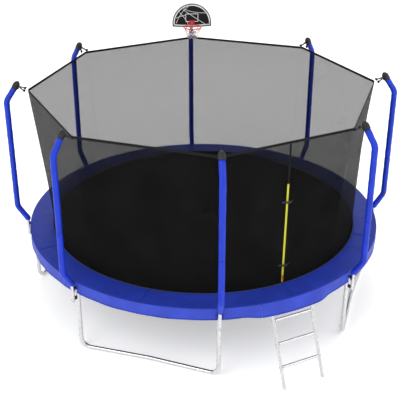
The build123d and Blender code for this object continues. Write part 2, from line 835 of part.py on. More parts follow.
# ---------------------------------------------------------------- safety net
def net_section(radius, height, straight):
    """Thin strip across one net panel, straight at the top and curved at the foot."""
    outer = radius + NET_THICK / (cos(radians(HALF_STEP)) if straight else 1)
    half = radians(HALF_STEP - degrees(SEAM_GAP / 2 / NET_FOOT))
    low, high = (cos(-half), sin(-half)), (cos(half), sin(half))
    corners = [
        (radius * low[0], radius * low[1]),
        (radius * high[0], radius * high[1]),
        (outer * high[0], outer * high[1]),
        (outer * low[0], outer * low[1]),
    ]
    with BuildSketch(Plane.XY.offset(height)) as strip:
        with BuildLine():
            if straight:
                Polyline(*corners, close=True)
            else:
                ThreePointArc(corners[0], (radius, 0), corners[1])
                Line(corners[1], corners[2])
                ThreePointArc(corners[2], (outer, 0), corners[3])
                Line(corners[3], corners[0])
        make_face()
    return strip.sketch


def make_safety_net():
    """Mesh walls: eight panels, straight along the top and round at the mat."""
    with BuildPart() as panel:
        add(net_section(NET_FOOT, NET_BOTTOM, False))
        add(net_section(NET_CORNER, NET_TOP, True))
        loft(ruled=True)
    return group_at(panel.part, [a + HALF_STEP for a in all_posts])


def webbing_outline(apothem, rounding):
    """Octagon with rounded corners at the posts."""
    with BuildSketch() as outline:
        RegularPolygon(apothem, POSTS, major_radius=False, rotation=FIRST_POST)
        fillet(outline.vertices(), rounding)
    return outline.sketch


def make_net_top_webbing():
    """Webbing band sewn along the net's top edge."""
    with BuildPart() as webbing:
        with BuildSketch(Plane.XY.offset(NET_TOP)):
            add(webbing_outline(WEBBING_OUTER, WEBBING_CORNER))
            add(
                webbing_outline(WEBBING_INNER, WEBBING_CORNER - WEBBING_THICK),
                mode=Mode.SUBTRACT,
            )
        extrude(amount=WEBBING_HEIGHT)
    return webbing.part


def make_net_hem():
    """Webbing band inside the net's lower edge, resting on the mat's hem."""
    with BuildPart() as hem:
        with BuildSketch(Plane.XY.offset(NET_BOTTOM)):
            Circle(NET_FOOT - HEM_GAP)
            Circle(NET_FOOT - HEM_GAP - HEM_THICK, mode=Mode.SUBTRACT)
        extrude(amount=HEM_HEIGHT)
    return hem.part


def strap_pair(along, first, last):
    """Two splayed straps that start some way from a post's axis, at azimuth 0."""
    start, direction = strap_frame(along)
    strap_plane = Plane(
        in_section(start),
        x_dir=in_section(direction),
        z_dir=(-direction[1], 0, direction[0]),
    )
    with BuildPart() as straps:
        with BuildSketch(strap_plane):
            for side in (-1, 1):
                with BuildLine():
                    Polyline(
                        (first, side * STRAP_INNER),
                        (first, side * (STRAP_INNER + STRAP_WIDTH)),
                        (last, side * (STRAP_SPLAY + STRAP_WIDTH)),
                        (last, side * STRAP_SPLAY),
                        close=True,
                    )
                make_face()
        extrude(amount=STRAP_THICK / 2, both=True)
    return straps.part


def make_net_straps():
    """Pairs of short straps from each cap's lug, or the hoop post, to the net's corner."""
    bend = in_section(POLE_IN_START)
    with BuildPart() as hoop_pair:
        add(strap_pair(HOOP_STRAP_AT, 0, STRAP_RUN + STRAP_SPLAY))
        with BuildSketch(Plane(bend, z_dir=in_section(TIP_DIRECTION))):
            Circle(SLEEVE_OUTER / 2 + SOFT_GAP)
        extrude(amount=SLEEVE_TIP, mode=Mode.SUBTRACT)
    with BuildPart() as straps:
        add(group_at(strap_pair(LUG_AT, LUG_REACH + SOFT_GAP, STRAP_RUN), cap_posts))
        with Locations(turned(hoop_azimuth)):
            add(hoop_pair.part)
        with BuildSketch(Plane.XY.offset(NET_TOP - WEBBING_HEIGHT)):
            add(webbing_outline(WEBBING_OUTER + SOFT_GAP, WEBBING_CORNER))
        extrude(amount=3 * WEBBING_HEIGHT, mode=Mode.SUBTRACT)
    return straps.part


# ---------------------------------------------------------------- net door
def zip_frame():
    """Foot, up direction and outward direction of the zip's line on the net's face."""
    half = radians(HALF_STEP)
    top_apothem = NET_CORNER * cos(half) + NET_THICK
    foot = NET_FOOT + NET_THICK
    run = hypot(top_apothem - foot, NET_TOP - NET_BOTTOM)
    along = ((top_apothem - foot) / run, (NET_TOP - NET_BOTTOM) / run)
    return foot, along, (along[1], -along[0])


def zip_plane(height, outward):
    """Plane parallel to the net at the zip: x along the net, y up the zip."""
    foot, along, normal = zip_frame()
    rise = (height - NET_BOTTOM) / along[1]
    radius = foot + along[0] * rise + normal[0] * outward
    level = height + normal[1] * outward
    angle = radians(ZIP_AZIMUTH)
    return Plane(
        (radius * cos(angle), radius * sin(angle), level),
        x_dir=(-sin(angle), cos(angle), 0),
        z_dir=(normal[0] * cos(angle), normal[0] * sin(angle), normal[1]),
    )


def make_tape(low, high):
    """Length of zip tape with its raised coil of teeth."""
    length = (high - low) / zip_frame()[1][1]
    with BuildPart() as tape:
        with BuildSketch(zip_plane(low, SOFT_GAP)):
            Rectangle(ZIP_WIDTH, length, align=(Align.CENTER, Align.MIN))
        extrude(amount=ZIP_THICK)
        with BuildSketch(zip_plane(low, SOFT_GAP + ZIP_THICK)):
            Rectangle(TEETH_WIDTH, length, align=(Align.CENTER, Align.MIN))
        extrude(amount=TEETH_THICK)
    return tape.part


SLIDER_BACK = SOFT_GAP + ZIP_THICK + SOFT_GAP
PULL_AXIS_RISE = SLIDER_HEIGHT - 6.0
PULL_EYE = PIN_RADIUS + 0.9
PULL_AXIS_OUT = SLIDER_BACK + SLIDER_THICK + PULL_EYE + SOFT_GAP


def make_zip_slider():
    """Slider that straddles the teeth, with two ears for the pull's pin."""
    with BuildPart() as slider:
        with BuildSketch(zip_plane(SLIDER_BOTTOM, SLIDER_BACK)):
            with Locations((0, SLIDER_HEIGHT / 2)):
                RectangleRounded(SLIDER_WIDTH, SLIDER_HEIGHT, 4)
        extrude(amount=SLIDER_THICK)
        with BuildSketch(zip_plane(SLIDER_BOTTOM, SLIDER_BACK)):
            with Locations((0, SLIDER_HEIGHT / 2)):
                Rectangle(TEETH_WIDTH + 2 * BUCKLE_FIT, SLIDER_HEIGHT)
        extrude(amount=TEETH_THICK, mode=Mode.SUBTRACT)
        ear = (SLIDER_WIDTH - PULL_WIDTH) / 2 - BUCKLE_FIT
        with BuildSketch(zip_plane(SLIDER_BOTTOM, SLIDER_BACK + SLIDER_THICK - 1)):
            for side in (-1, 1):
                with Locations((side * (SLIDER_WIDTH - ear) / 2, PULL_AXIS_RISE)):
                    Rectangle(ear, 2 * PIN_RADIUS + 2)
        extrude(amount=2 + PULL_EYE + SOFT_GAP + PIN_RADIUS)
        centre = zip_plane(SLIDER_BOTTOM, PULL_AXIS_OUT)
        pin_start = centre.from_local_coords((-SLIDER_WIDTH / 2, PULL_AXIS_RISE, 0))
        with BuildSketch(Plane(pin_start, z_dir=centre.x_dir)):
            Circle(PIN_RADIUS)
        extrude(amount=SLIDER_WIDTH)
    return slider.part


def make_zip_pull():
    """Pull tab that hangs from the slider's pin, with a finger hole."""
    with BuildPart() as pull:
        with BuildSketch(zip_plane(SLIDER_BOTTOM, PULL_AXIS_OUT - PULL_THICK / 2)):
            with Locations((0, PULL_AXIS_RISE - PULL_LENGTH / 2)):
                RectangleRounded(PULL_WIDTH, PULL_LENGTH, 3)
            with Locations((0, PULL_AXIS_RISE - PULL_LENGTH + 12)):
                SlotOverall(10, 5, rotation=90, mode=Mode.SUBTRACT)
        extrude(amount=PULL_THICK)
        centre = zip_plane(SLIDER_BOTTOM, PULL_AXIS_OUT)
        eye_start = centre.from_local_coords((-PULL_WIDTH / 2, PULL_AXIS_RISE, 0))
        with BuildSketch(Plane(eye_start, z_dir=centre.x_dir)):
            Circle(PULL_EYE)
        extrude(amount=PULL_WIDTH)
        with BuildSketch(Plane(eye_start, z_dir=centre.x_dir)):
            Circle(PIN_RADIUS + PIN_FIT)
        extrude(amount=PULL_WIDTH, mode=Mode.SUBTRACT)
    return pull.part


def make_buckle_socket(height):
    """Female half of a side-release buckle, open towards the tongue."""
    with BuildPart() as socket:
        with BuildSketch(zip_plane(height, BUCKLE_STANDOFF)):
            with Locations((SOCKET_LENGTH / 2, 0)):
                RectangleRounded(SOCKET_LENGTH, BUCKLE_WIDTH, 3)
        extrude(amount=BUCKLE_THICK)
        with BuildSketch(zip_plane(height, BUCKLE_STANDOFF + BUCKLE_WALL)):
            with Locations((SOCKET_DEPTH / 2, 0)):
                Rectangle(SOCKET_DEPTH, BUCKLE_WIDTH - 2 * BUCKLE_WALL)
        extrude(amount=BUCKLE_THICK - 2 * BUCKLE_WALL, mode=Mode.SUBTRACT)
    return socket.part


def make_buckle_tongue(height):
    """Male half of the buckle with two prongs, and its webbing tab."""
    prong_y = BUCKLE_WIDTH / 2 - BUCKLE_WALL - BUCKLE_FIT - PRONG_WIDTH / 2
    prong_thick = BUCKLE_THICK - 2 * BUCKLE_WALL - 2 * BUCKLE_FIT
    with BuildPart() as tongue:
        with BuildSketch(zip_plane(height, BUCKLE_STANDOFF)):
            with Locations((-BUCKLE_FIT - TONGUE_LENGTH / 2, 0)):
                RectangleRounded(TONGUE_LENGTH, BUCKLE_WIDTH, 3)
        extrude(amount=BUCKLE_THICK)
        with BuildSketch(zip_plane(height, BUCKLE_STANDOFF + BUCKLE_WALL + BUCKLE_FIT)):
            for side in (-1, 1):
                with Locations((PRONG_REACH / 2 - 2, side * prong_y)):
                    Rectangle(PRONG_REACH + 4, PRONG_WIDTH)
        extrude(amount=prong_thick)
    return tongue.part


def buckle_tab(height, side, start):
    """Bent webbing tab from a buckle half down to the net."""
    high = BUCKLE_STANDOFF + BUCKLE_THICK / 2
    foot = start + TAB_RUN - TAB_FOOT
    frame = zip_plane(height, 0)
    section = Plane(
        frame.from_local_coords((0, side * (BUCKLE_WIDTH / 2 - 1), 0)),
        x_dir=frame.x_dir * side,
        z_dir=frame.y_dir * -side,
    )
    with BuildPart() as tab:
        with BuildSketch(section):
            with BuildLine():
                Polyline(
                    (start, high),
                    (foot, SOFT_GAP + TAB_THICK),
                    (start + TAB_RUN, SOFT_GAP + TAB_THICK),
                    (start + TAB_RUN, SOFT_GAP),
                    (foot - 1, SOFT_GAP),
                    (start, high - TAB_THICK - 1),
                    close=True,
                )
            make_face()
        extrude(amount=BUCKLE_WIDTH - 2)
    return tab.part


def make_socket_tabs():
    """Webbing tabs that hold the buckle sockets to the net."""
    with BuildPart() as tabs:
        for height in BUCKLE_HEIGHTS:
            add(buckle_tab(height, 1, SOCKET_LENGTH + SADDLE_GAP))
    return tabs.part


def make_tongue_with_tab(height):
    """Buckle tongue with its webbing tab, which leaves with it."""
    with BuildPart() as piece:
        add(make_buckle_tongue(height))
        add(buckle_tab(height, -1, BUCKLE_FIT + TONGUE_LENGTH - 1))
    return piece.part


# ---------------------------------------------------------------- ladder
def ladder_plane(along, outward, lateral=0.0):
    """Plane across the ladder's slope at a place on it."""
    x, z = ladder_point(along, outward)
    return Plane((x, lateral, z), x_dir=(0, 1, 0), z_dir=in_section(LADDER_UP))


def make_ladder_rail(side):
    """Straight ladder tube, cut level at the ground and drilled for its bolts."""
    lateral = side * LADDER_SPACING / 2
    below = LADDER_TUBE
    with BuildPart() as rail:
        with BuildSketch(ladder_plane(-below, 0, lateral)):
            Circle(LADDER_TUBE / 2)
            Circle(LADDER_TUBE / 2 - LADDER_WALL, mode=Mode.SUBTRACT)
        extrude(amount=LADDER_RAIL_TOP + below)
        split(bisect_by=Plane.XY, keep=Keep.TOP)
        for rung in range(RUNGS):
            x, z = ladder_point(FIRST_RUNG + RUNG_PITCH * rung)
            with Locations((x, lateral, z)):
                Cylinder(
                    BOLT_RADIUS + BOLT_CLEARANCE,
                    2 * LADDER_TUBE,
                    rotation=(90, 0, 0),
                    mode=Mode.SUBTRACT,
                )
        add(tang_bore(lateral), mode=Mode.SUBTRACT)
    return rail.part.moved(turned(LADDER_AZIMUTH))


def tang_bore(lateral, radius=BOLT_RADIUS + BOLT_CLEARANCE):
    """Hole across the ladder's slope for a hook bolt."""
    x, z = ladder_point(LADDER_RAIL_TOP - TANG_LENGTH / 2, -LADDER_TUBE)
    with BuildPart() as bore:
        with BuildSketch(Plane((x, lateral, z), z_dir=in_section(LADDER_OUT))):
            Circle(radius)
        extrude(amount=2 * LADDER_TUBE)
    return bore.part


def make_rung(index):
    """Round rung tube with a drilled plug in each end."""
    x, z = ladder_point(FIRST_RUNG + RUNG_PITCH * index)
    length = LADDER_SPACING - LADDER_TUBE - 2 * SADDLE_GAP
    with BuildPart() as rung:
        with BuildSketch(Plane.XZ.offset(-length / 2)):
            with Locations((x, z)):
                Circle(RUNG_TUBE / 2)
                Circle(RUNG_TUBE / 2 - RUNG_WALL, mode=Mode.SUBTRACT)
        extrude(amount=length)
        for side in (-1, 1):
            with Locations((x, side * (length - RUNG_PLUG) / 2, z)):
                Cylinder(RUNG_TUBE / 2 - RUNG_WALL / 2, RUNG_PLUG, rotation=(90, 0, 0))
        with Locations((x, 0, z)):
            Cylinder(
                BOLT_RADIUS + BOLT_CLEARANCE,
                LADDER_SPACING,
                rotation=(90, 0, 0),
                mode=Mode.SUBTRACT,
            )
    return rung.part.moved(turned(LADDER_AZIMUTH))


def make_ladder_hooks():
    """Steel hooks over the frame rail, each with a tang inside a ladder rail."""
    inner = RAIL_TUBE / 2 + HOOK_FIT
    outer = inner + HOOK_THICK
    tang_end = LADDER_RUN - LADDER_RAIL_TOP + TANG_LENGTH
    down = (-LADDER_UP[0], -LADDER_UP[1])
    start_angle = degrees(atan2(down[1], down[0]))
    with BuildPart() as hooks:
        for side in (-1, 1):
            edge = side * LADDER_SPACING / 2 + HOOK_WIDTH / 2
            with BuildSketch(Plane.XZ.offset(-edge)):
                with BuildLine():
                    for radius in (inner, outer):
                        CenterArc(
                            (HOOK_X, RAIL_Z), radius, start_angle, 180 - start_angle
                        )
                    for angle in (start_angle, 180):
                        turn = radians(angle)
                        Line(
                            (
                                HOOK_X + inner * cos(turn),
                                RAIL_Z + inner * sin(turn),
                            ),
                            (
                                HOOK_X + outer * cos(turn),
                                RAIL_Z + outer * sin(turn),
                            ),
                        )
                make_face()
            extrude(amount=HOOK_WIDTH)
            root = (
                HOOK_X + down[0] * (inner + 0.2),
                side * LADDER_SPACING / 2,
                RAIL_Z + down[1] * (inner + 0.2),
            )
            with BuildSketch(Plane(root, x_dir=(0, 1, 0), z_dir=in_section(down))):
                Rectangle(HOOK_WIDTH, TANG_THICK)
            extrude(amount=tang_end - inner)
            add(tang_bore(side * LADDER_SPACING / 2), mode=Mode.SUBTRACT)
    return hooks.part.moved(turned(LADDER_AZIMUTH))


def make_ladder_bolts():
    """Bolts through the rails into the rungs and through the rails into the hooks."""
    with BuildPart() as bolts:
        for side in (-1, 1):
            outer_y = side * (LADDER_SPACING + LADDER_TUBE) / 2
            inner_y = side * (LADDER_SPACING / 2 - LADDER_TUBE / 2 - RUNG_PLUG)
            for rung in range(RUNGS):
                x, z = ladder_point(FIRST_RUNG + RUNG_PITCH * rung)
                head_y = outer_y + side * (BOLT_HEAD / 2 + SADDLE_GAP)
                with Locations((x, (head_y + inner_y) / 2, z)):
                    Cylinder(BOLT_RADIUS, abs(head_y - inner_y), rotation=(90, 0, 0))
                with Locations((x, head_y, z)):
                    Cylinder(BOLT_HEAD_RADIUS, BOLT_HEAD, rotation=(90, 0, 0))
            along = LADDER_RAIL_TOP - TANG_LENGTH / 2
            start = -LADDER_TUBE / 2 - BOLT_HEAD
            face = LADDER_TUBE / 2 + SADDLE_GAP
            for first, last, radius in (
                (start, face + 1, BOLT_RADIUS),
                (start, -face, BOLT_HEAD_RADIUS),
                (face, face + BOLT_HEAD, BOLT_HEAD_RADIUS),
            ):
                x, z = ladder_point(along, first)
                plane = Plane(
                    (x, side * LADDER_SPACING / 2, z), z_dir=in_section(LADDER_OUT)
                )
                with BuildSketch(plane):
                    Circle(radius)
                extrude(amount=last - first)
    return bolts.part.moved(turned(LADDER_AZIMUTH))


# ---------------------------------------------------------------- basketball hoop
def board_outline(inset):
    """Half-round board with a bowed lower edge, drawn across and up."""
    half = BOARD_WIDTH / 2 - inset
    shoulder = BOARD_HEIGHT - BOARD_WIDTH / 2
    low = inset + BOARD_BOW
    corner = BOARD_CORNER
    with BuildSketch() as outline:
        with BuildLine():
            CenterArc((0, shoulder), half, 0, 180)
            Line((-half, shoulder), (-half, low))
            Line((-half, low), (-half + corner, low - corner / 2))
            ThreePointArc(
                (-half + corner, low - corner / 2),
                (0, inset),
                (half - corner, low - corner / 2),
            )
            Line((half - corner, low - corner / 2), (half, low))
            Line((half, low), (half, shoulder))
        make_face()
    return outline.sketch


def board_plane(x):
    return Plane((x, 0, BOARD_BOTTOM), x_dir=(0, 1, 0), z_dir=(1, 0, 0))


def hoop_bolt_places():
    """Heights of the two bolts through rim plate, board and back plate."""
    middle = RIM_Z + RIM_PLATE_HEIGHT / 2 - RIM_ARM
    return [middle - HOOP_BOLT_SPREAD / 2, middle + HOOP_BOLT_SPREAD / 2]


def hoop_bores():
    """Bolt holes through everything at the rim plate."""
    with BuildPart() as bores:
        with BuildSketch(Plane.YZ.offset(BOARD_FACE - 30)):
            for z in hoop_bolt_places():
                with Locations((0, z)):
                    Circle(HOOP_BOLT_RADIUS + BOLT_CLEARANCE)
        extrude(amount=60)
    return bores.part


def make_backboard():
    with BuildPart() as board:
        with BuildSketch(board_plane(BOARD_FACE)):
            add(board_outline(TRIM_WIDTH + SOFT_GAP))
        extrude(amount=BOARD_THICK)
        add(hoop_bores(), mode=Mode.SUBTRACT)
    return board.part.moved(turned(hoop_azimuth))


def make_board_trim():
    """Edge moulding round the board."""
    with BuildPart() as trim:
        with BuildSketch(board_plane(BOARD_FACE - (TRIM_THICK - BOARD_THICK) / 2)):
            add(board_outline(0))
            add(board_outline(TRIM_WIDTH), mode=Mode.SUBTRACT)
        extrude(amount=TRIM_THICK)
    return trim.part.moved(turned(hoop_azimuth))


def make_hoop_rim():
    """Steel rim with its mounting plate and two arms."""
    wire = RIM_WIRE / 2
    plate_face = BOARD_FACE - SOFT_GAP - RIM_PLATE_THICK
    with BuildPart() as rim:
        with BuildSketch(Plane.XZ):
            with Locations((RIM_RADIUS, RIM_Z)):
                Circle(wire)
        revolve(axis=Axis.Z)
        with Locations((plate_face - RIM_CENTRE, 0, RIM_Z - RIM_ARM)):
            Box(
                RIM_PLATE_THICK,
                RIM_PLATE_WIDTH,
                RIM_PLATE_HEIGHT,
                align=(Align.MIN, Align.CENTER, Align.MIN),
            )
        for side in (-1, 1):
            with Locations((RIM_RADIUS - wire, side * RIM_PLATE_WIDTH / 3, RIM_Z)):
                Box(
                    plate_face - RIM_CENTRE - RIM_RADIUS + wire + 1,
                    RIM_ARM,
                    RIM_ARM,
                    align=(Align.MIN, Align.CENTER, Align.CENTER),
                )
        with Locations((-RIM_CENTRE, 0, 0)):
            add(hoop_bores(), mode=Mode.SUBTRACT)
    return rim.part.moved(Location((RIM_CENTRE, 0, 0))).moved(turned(hoop_azimuth))


def make_hoop_net():
    """Tapered cord net under the rim, open at both ends."""
    top = RIM_Z - RIM_WIRE / 2 - SOFT_GAP
    wide = RIM_RADIUS
    with BuildPart() as net:
        with BuildSketch(Plane.XZ):
            with BuildLine():
                Polyline(
                    (wide, top),
                    (HOOP_NET_FOOT, top - HOOP_NET_HEIGHT),
                    (HOOP_NET_FOOT - HOOP_NET_THICK, top - HOOP_NET_HEIGHT),
                    (wide - HOOP_NET_THICK, top),
                    close=True,
                )
            make_face()
        revolve(axis=Axis.Z)
    return net.part.moved(Location((RIM_CENTRE, 0, 0))).moved(turned(hoop_azimuth))


def make_hoop_bracket():
    """Clamp bands on the post, joined by a bar to a plate behind the board."""
    band_inner = SLEEVE_OUTER / 2 + SOFT_GAP
    band_outer = band_inner + BAND_THICK
    bar_base = band_outer - 1
    reach = 2 * POLE_TIP_LENGTH
    plate_back = BOARD_BACK + SOFT_GAP + BACK_PLATE_THICK
    first_bar = BAND_PLACES[0] - BAND_WIDTH / 2
    bar_foot = in_section(tip_point(first_bar, bar_base + BAR_THICK / 2))
    with BuildPart() as bracket:
        with BuildSketch(
            Plane(bar_foot, x_dir=(0, 1, 0), z_dir=in_section(TIP_DIRECTION))
        ):
            Rectangle(BAR_WIDTH, BAR_THICK)
        extrude(amount=reach)
        split(bisect_by=Plane.YZ.offset(plate_back - 1), keep=Keep.TOP)
        with Locations((plate_back, 0, RIM_Z - RIM_ARM)):
            Box(
                BACK_PLATE_THICK,
                BACK_PLATE_WIDTH,
                BACK_PLATE_HEIGHT,
                align=(Align.MAX, Align.CENTER, Align.MIN),
            )
        for place in BAND_PLACES:
            foot = in_section(tip_point(place - BAND_WIDTH / 2))
            band_plane = Plane(
                foot, x_dir=(0, 1, 0), z_dir=in_section(TIP_DIRECTION)
            )
            with BuildSketch(band_plane):
                Circle(band_outer)
                Circle(band_inner, mode=Mode.SUBTRACT)
            extrude(amount=BAND_WIDTH)
            with BuildSketch(knob_plane(place, band_inner + 1)):
                Circle(BOSS_RADIUS)
            extrude(amount=BOSS_LENGTH)
            with BuildSketch(knob_plane(place, band_inner + 2)):
                Circle(KNOB_SHANK + PIN_FIT)
            extrude(amount=BOSS_LENGTH, mode=Mode.SUBTRACT)
        add(hoop_bores(), mode=Mode.SUBTRACT)
    return bracket.part.moved(turned(hoop_azimuth))


def knob_plane(place, reach):
    """Plane across a clamp knob's screw, to the side of the post."""
    x, z = tip_point(place)
    return Plane((x, -reach, z), z_dir=(0, -1, 0))


def make_clamp_knob(place):
    """Lobed knob on a screw that tightens a clamp band."""
    boss_end = SLEEVE_OUTER / 2 + SOFT_GAP + 1 + BOSS_LENGTH
    with BuildPart() as knob:
        with BuildSketch(knob_plane(place, boss_end + SADDLE_GAP)):
            Circle(KNOB_RADIUS - KNOB_LOBE_RADIUS / 2)
            with PolarLocations(KNOB_RADIUS - KNOB_LOBE_RADIUS / 2, KNOB_LOBES):
                Circle(KNOB_LOBE_RADIUS)
        extrude(amount=KNOB_THICK)
        with BuildSketch(knob_plane(place, boss_end - BOSS_LENGTH + 3)):
            Circle(KNOB_SHANK)
        extrude(amount=BOSS_LENGTH)
    return knob.part.moved(turned(hoop_azimuth))


def make_hoop_bolts():
    """Two bolts through rim plate, board and back plate."""
    front = BOARD_FACE - SOFT_GAP - RIM_PLATE_THICK - SADDLE_GAP
    back = BOARD_BACK + SOFT_GAP + BACK_PLATE_THICK + SADDLE_GAP
    with BuildPart() as bolts:
        for z in hoop_bolt_places():
            for start, end, radius in (
                (front - 3, back + 5, HOOP_BOLT_RADIUS),
                (front - 3, front, 2 * HOOP_BOLT_RADIUS),
                (back, back + 3, 2 * HOOP_BOLT_RADIUS),
            ):
                with BuildSketch(Plane.YZ.offset(start)):
                    with Locations((0, z)):
                        Circle(radius)
                extrude(amount=end - start)
    return bolts.part.moved(turned(hoop_azimuth))


# ---------------------------------------------------------------- all pieces
def main():
    os.makedirs("parts", exist_ok=True)

    save(make_top_rails(), "top_rails")
    save(make_rail_tees(), "rail_tees")
    for index in range(POSTS // 2):
        first = FIRST_POST - POST_STEP + 2 * POST_STEP * index
        save(make_leg_base(first), f"leg_base_{index + 1}")
    save(make_leg_uprights(), "leg_uprights")
    save(make_leg_screws(), "leg_screws")

    pole = make_pole()
    for index, azimuth in enumerate(all_posts):
        save(group_at(pole, [azimuth]), f"enclosure_pole_{index + 1}")
    save(make_pole_spacers(), "pole_spacers")
    save(make_pole_bolts(), "pole_bolts")
    save(make_pole_plugs(), "pole_plugs")
    save(make_lower_sleeves(), "foam_sleeves_lower")
    save(make_upper_sleeves(), "foam_sleeves_upper")
    save(make_pole_caps(), "pole_caps")
    save(make_cap_screws(), "cap_screws")

    save(make_mat(), "mat")
    save(make_mat_ring_tabs(), "mat_ring_tabs")
    save(make_mat_rings(), "mat_rings")
    save(make_springs(), "springs")
    save(make_safety_pad(), "safety_pad")
    save(make_pad_flap(), "pad_flap")

    save(make_safety_net(), "safety_net")
    save(make_net_top_webbing(), "net_top_webbing")
    save(make_net_hem(), "net_hem")
    save(make_net_straps(), "net_straps")

    save(make_tape(ZIP_BOTTOM, ZIP_YELLOW_TOP), "zip_tape")
    save(make_tape(ZIP_YELLOW_TOP, NET_TOP), "net_seam_tape")
    save(make_zip_slider(), "zip_slider")
    save(make_zip_pull(), "zip_pull")
    for height, name in zip(BUCKLE_HEIGHTS, ("lower", "upper")):
        save(make_buckle_socket(height), f"buckle_socket_{name}")
        save(make_tongue_with_tab(height), f"buckle_tongue_{name}")
    save(make_socket_tabs(), "buckle_socket_tabs")

    for side, name in ((-1, "left"), (1, "right")):
        save(make_ladder_rail(side), f"ladder_rail_{name}")
    for index in range(RUNGS):
        save(make_rung(index), f"ladder_rung_{index + 1}")
    save(make_ladder_hooks(), "ladder_hooks")
    save(make_ladder_bolts(), "ladder_bolts")

    save(make_backboard(), "hoop_backboard")
    save(make_board_trim(), "hoop_board_trim")
    save(make_hoop_rim(), "hoop_rim")
    save(make_hoop_net(), "hoop_net")
    save(make_hoop_bracket(), "hoop_bracket")
    for place, name in zip(BAND_PLACES, ("lower", "upper")):
        save(make_clamp_knob(place), f"clamp_knob_{name}")
    save(make_hoop_bolts(), "hoop_bolts")


main()
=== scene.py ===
from math import acos, cos, hypot, pi, radians, sin, tan

import bpy
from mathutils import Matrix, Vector


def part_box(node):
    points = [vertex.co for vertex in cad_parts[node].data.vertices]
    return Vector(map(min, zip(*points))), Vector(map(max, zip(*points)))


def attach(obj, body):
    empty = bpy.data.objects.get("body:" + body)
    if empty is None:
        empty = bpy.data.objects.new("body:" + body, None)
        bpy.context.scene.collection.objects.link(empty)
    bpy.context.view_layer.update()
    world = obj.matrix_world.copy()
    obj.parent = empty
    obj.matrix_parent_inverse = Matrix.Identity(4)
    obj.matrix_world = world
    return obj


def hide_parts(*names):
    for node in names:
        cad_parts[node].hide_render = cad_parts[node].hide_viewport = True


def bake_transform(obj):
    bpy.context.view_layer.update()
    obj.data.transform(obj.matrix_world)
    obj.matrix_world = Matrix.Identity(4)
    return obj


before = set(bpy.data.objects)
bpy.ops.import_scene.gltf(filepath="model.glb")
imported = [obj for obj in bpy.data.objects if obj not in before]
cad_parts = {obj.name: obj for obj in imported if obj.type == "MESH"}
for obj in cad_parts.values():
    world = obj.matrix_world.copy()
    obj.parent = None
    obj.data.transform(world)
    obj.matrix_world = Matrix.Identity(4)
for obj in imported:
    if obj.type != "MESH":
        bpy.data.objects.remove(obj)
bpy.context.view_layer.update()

# Metres, +Z up, azimuths in degrees about Z from +X, as in the CAD frame.
UP = Vector((0, 0, 1))

# ---- layout ----
POSTS = 8
POST_STEP = 360 / POSTS
HALF_STEP = radians(POST_STEP / 2)
FIRST_POST = -90.0
HOOP_POST = 4
LADDER_AZIMUTH = -68.6
ZIP_AZIMUTH = -67.1
all_posts = [FIRST_POST + POST_STEP * i for i in range(POSTS)]

# ---- read from the frame ----
pad_low, pad_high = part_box("safety_pad")
mat_low, mat_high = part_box("mat")
net_low, net_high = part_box("safety_net")
band_low, band_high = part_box("net_top_webbing")
hem_low, hem_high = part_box("net_hem")
sleeve_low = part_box("foam_sleeves_lower")[0]
board_low, board_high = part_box("hoop_backboard")
hoop_net_low, hoop_net_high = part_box("hoop_net")
ring_low, ring_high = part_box("top_rails")
tape_low, tape_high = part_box("zip_tape")

RAIL_RADIUS = (ring_high[2] - ring_low[2]) / 2
RING_RADIUS = ring_high[0] - RAIL_RADIUS
RAIL_Z = ring_high[2] - RAIL_RADIUS
PAD_OUTER = pad_high[0]
PAD_TOP = pad_high[2]
SKIRT_TOP = PAD_TOP - 0.006
SKIRT_BOTTOM = pad_low[2]
MAT_RADIUS = mat_high[0]
MAT_Z = (mat_low[2] + mat_high[2]) / 2
NET_BOTTOM = net_low[2]
NET_TOP = net_high[2]
BAND_Z = (band_low[2] + band_high[2]) / 2

# ---- pad and skirt ----
PAD_INNER = 1.861
PAD_OVER_RAIL = 0.0219  # from the rails' centre line up to the pad's underside
PAD_UNDER = RAIL_Z + PAD_OVER_RAIL
SKIRT_STEP = 0.9
SLOT_TOP = 0.838  # top of the slits where the post spacers pass
FLAP_HALF = 9.5
FLAP_FLARE = 0.047

# ---- posts: corners of the centre line as (distance, height), and the sleeves' bends ----
POST_FOOT, FOOT_BEND = (2.188, 0.890), 0.030
POST_KNEE, KNEE_BEND = (2.297, 1.066), 0.120
POST_HEAD, HEAD_BEND = (2.288, 2.432), 0.130
TIP_LEAN = 34.5
SLEEVE_RADIUS = 0.035
SLEEVE_JOINT = 1.570
# along the leaning top, from its bend
SLEEVE_TIP = 0.190
LUG_AT = 0.225
HOOP_STRAP_AT = 0.135
# from there toward the net
LUG_REACH = 0.058
HOOP_STRAP_REACH = 0.046

# ---- springs and mat tabs: distances from the centre, and radii ----
SPRINGS = 80
SPRING_HOLE = RING_RADIUS - 0.013
COIL_OUTER = 2.062
COIL_INNER = 1.950
COIL_RADIUS = 0.0098
COIL_WIRE = 0.0017
SPRING_END = 1.910  # distance from the centre near a spring's inner end
HOOK_TIP = 1.908
TAB_EYE = 1.895
TAB_EYE_RADIUS = 0.0031
spring_azimuths = [FIRST_POST + 360 / SPRINGS * (index + 0.5) for index in range(SPRINGS)]

# ---- net, its webbing and its door ----
NET_FOOT = 1.847
NET_CORNER = 2.031
BAND_APOTHEM = 1.8765
BAND_ROUNDING = 0.06
STRAP_APOTHEM = 1.8800
DOOR_FOOT = 1.848
DOOR_HEAD = 2.030 * cos(HALF_STEP) + 0.002
TAPE_WIDTH = 0.023
TEETH_PITCH = 0.0036
BUCKLE_HEIGHTS = (1.127, 1.891)

# ---- hoop ----
CORDS = 12
CORD_RADIUS = 0.0022
RIM_RADIUS = 0.120


def polar(radius, azimuth, height):
    """Point at a distance from the centre, an azimuth and a height."""
    angle = radians(azimuth)
    return Vector((radius * cos(angle), radius * sin(angle), height))


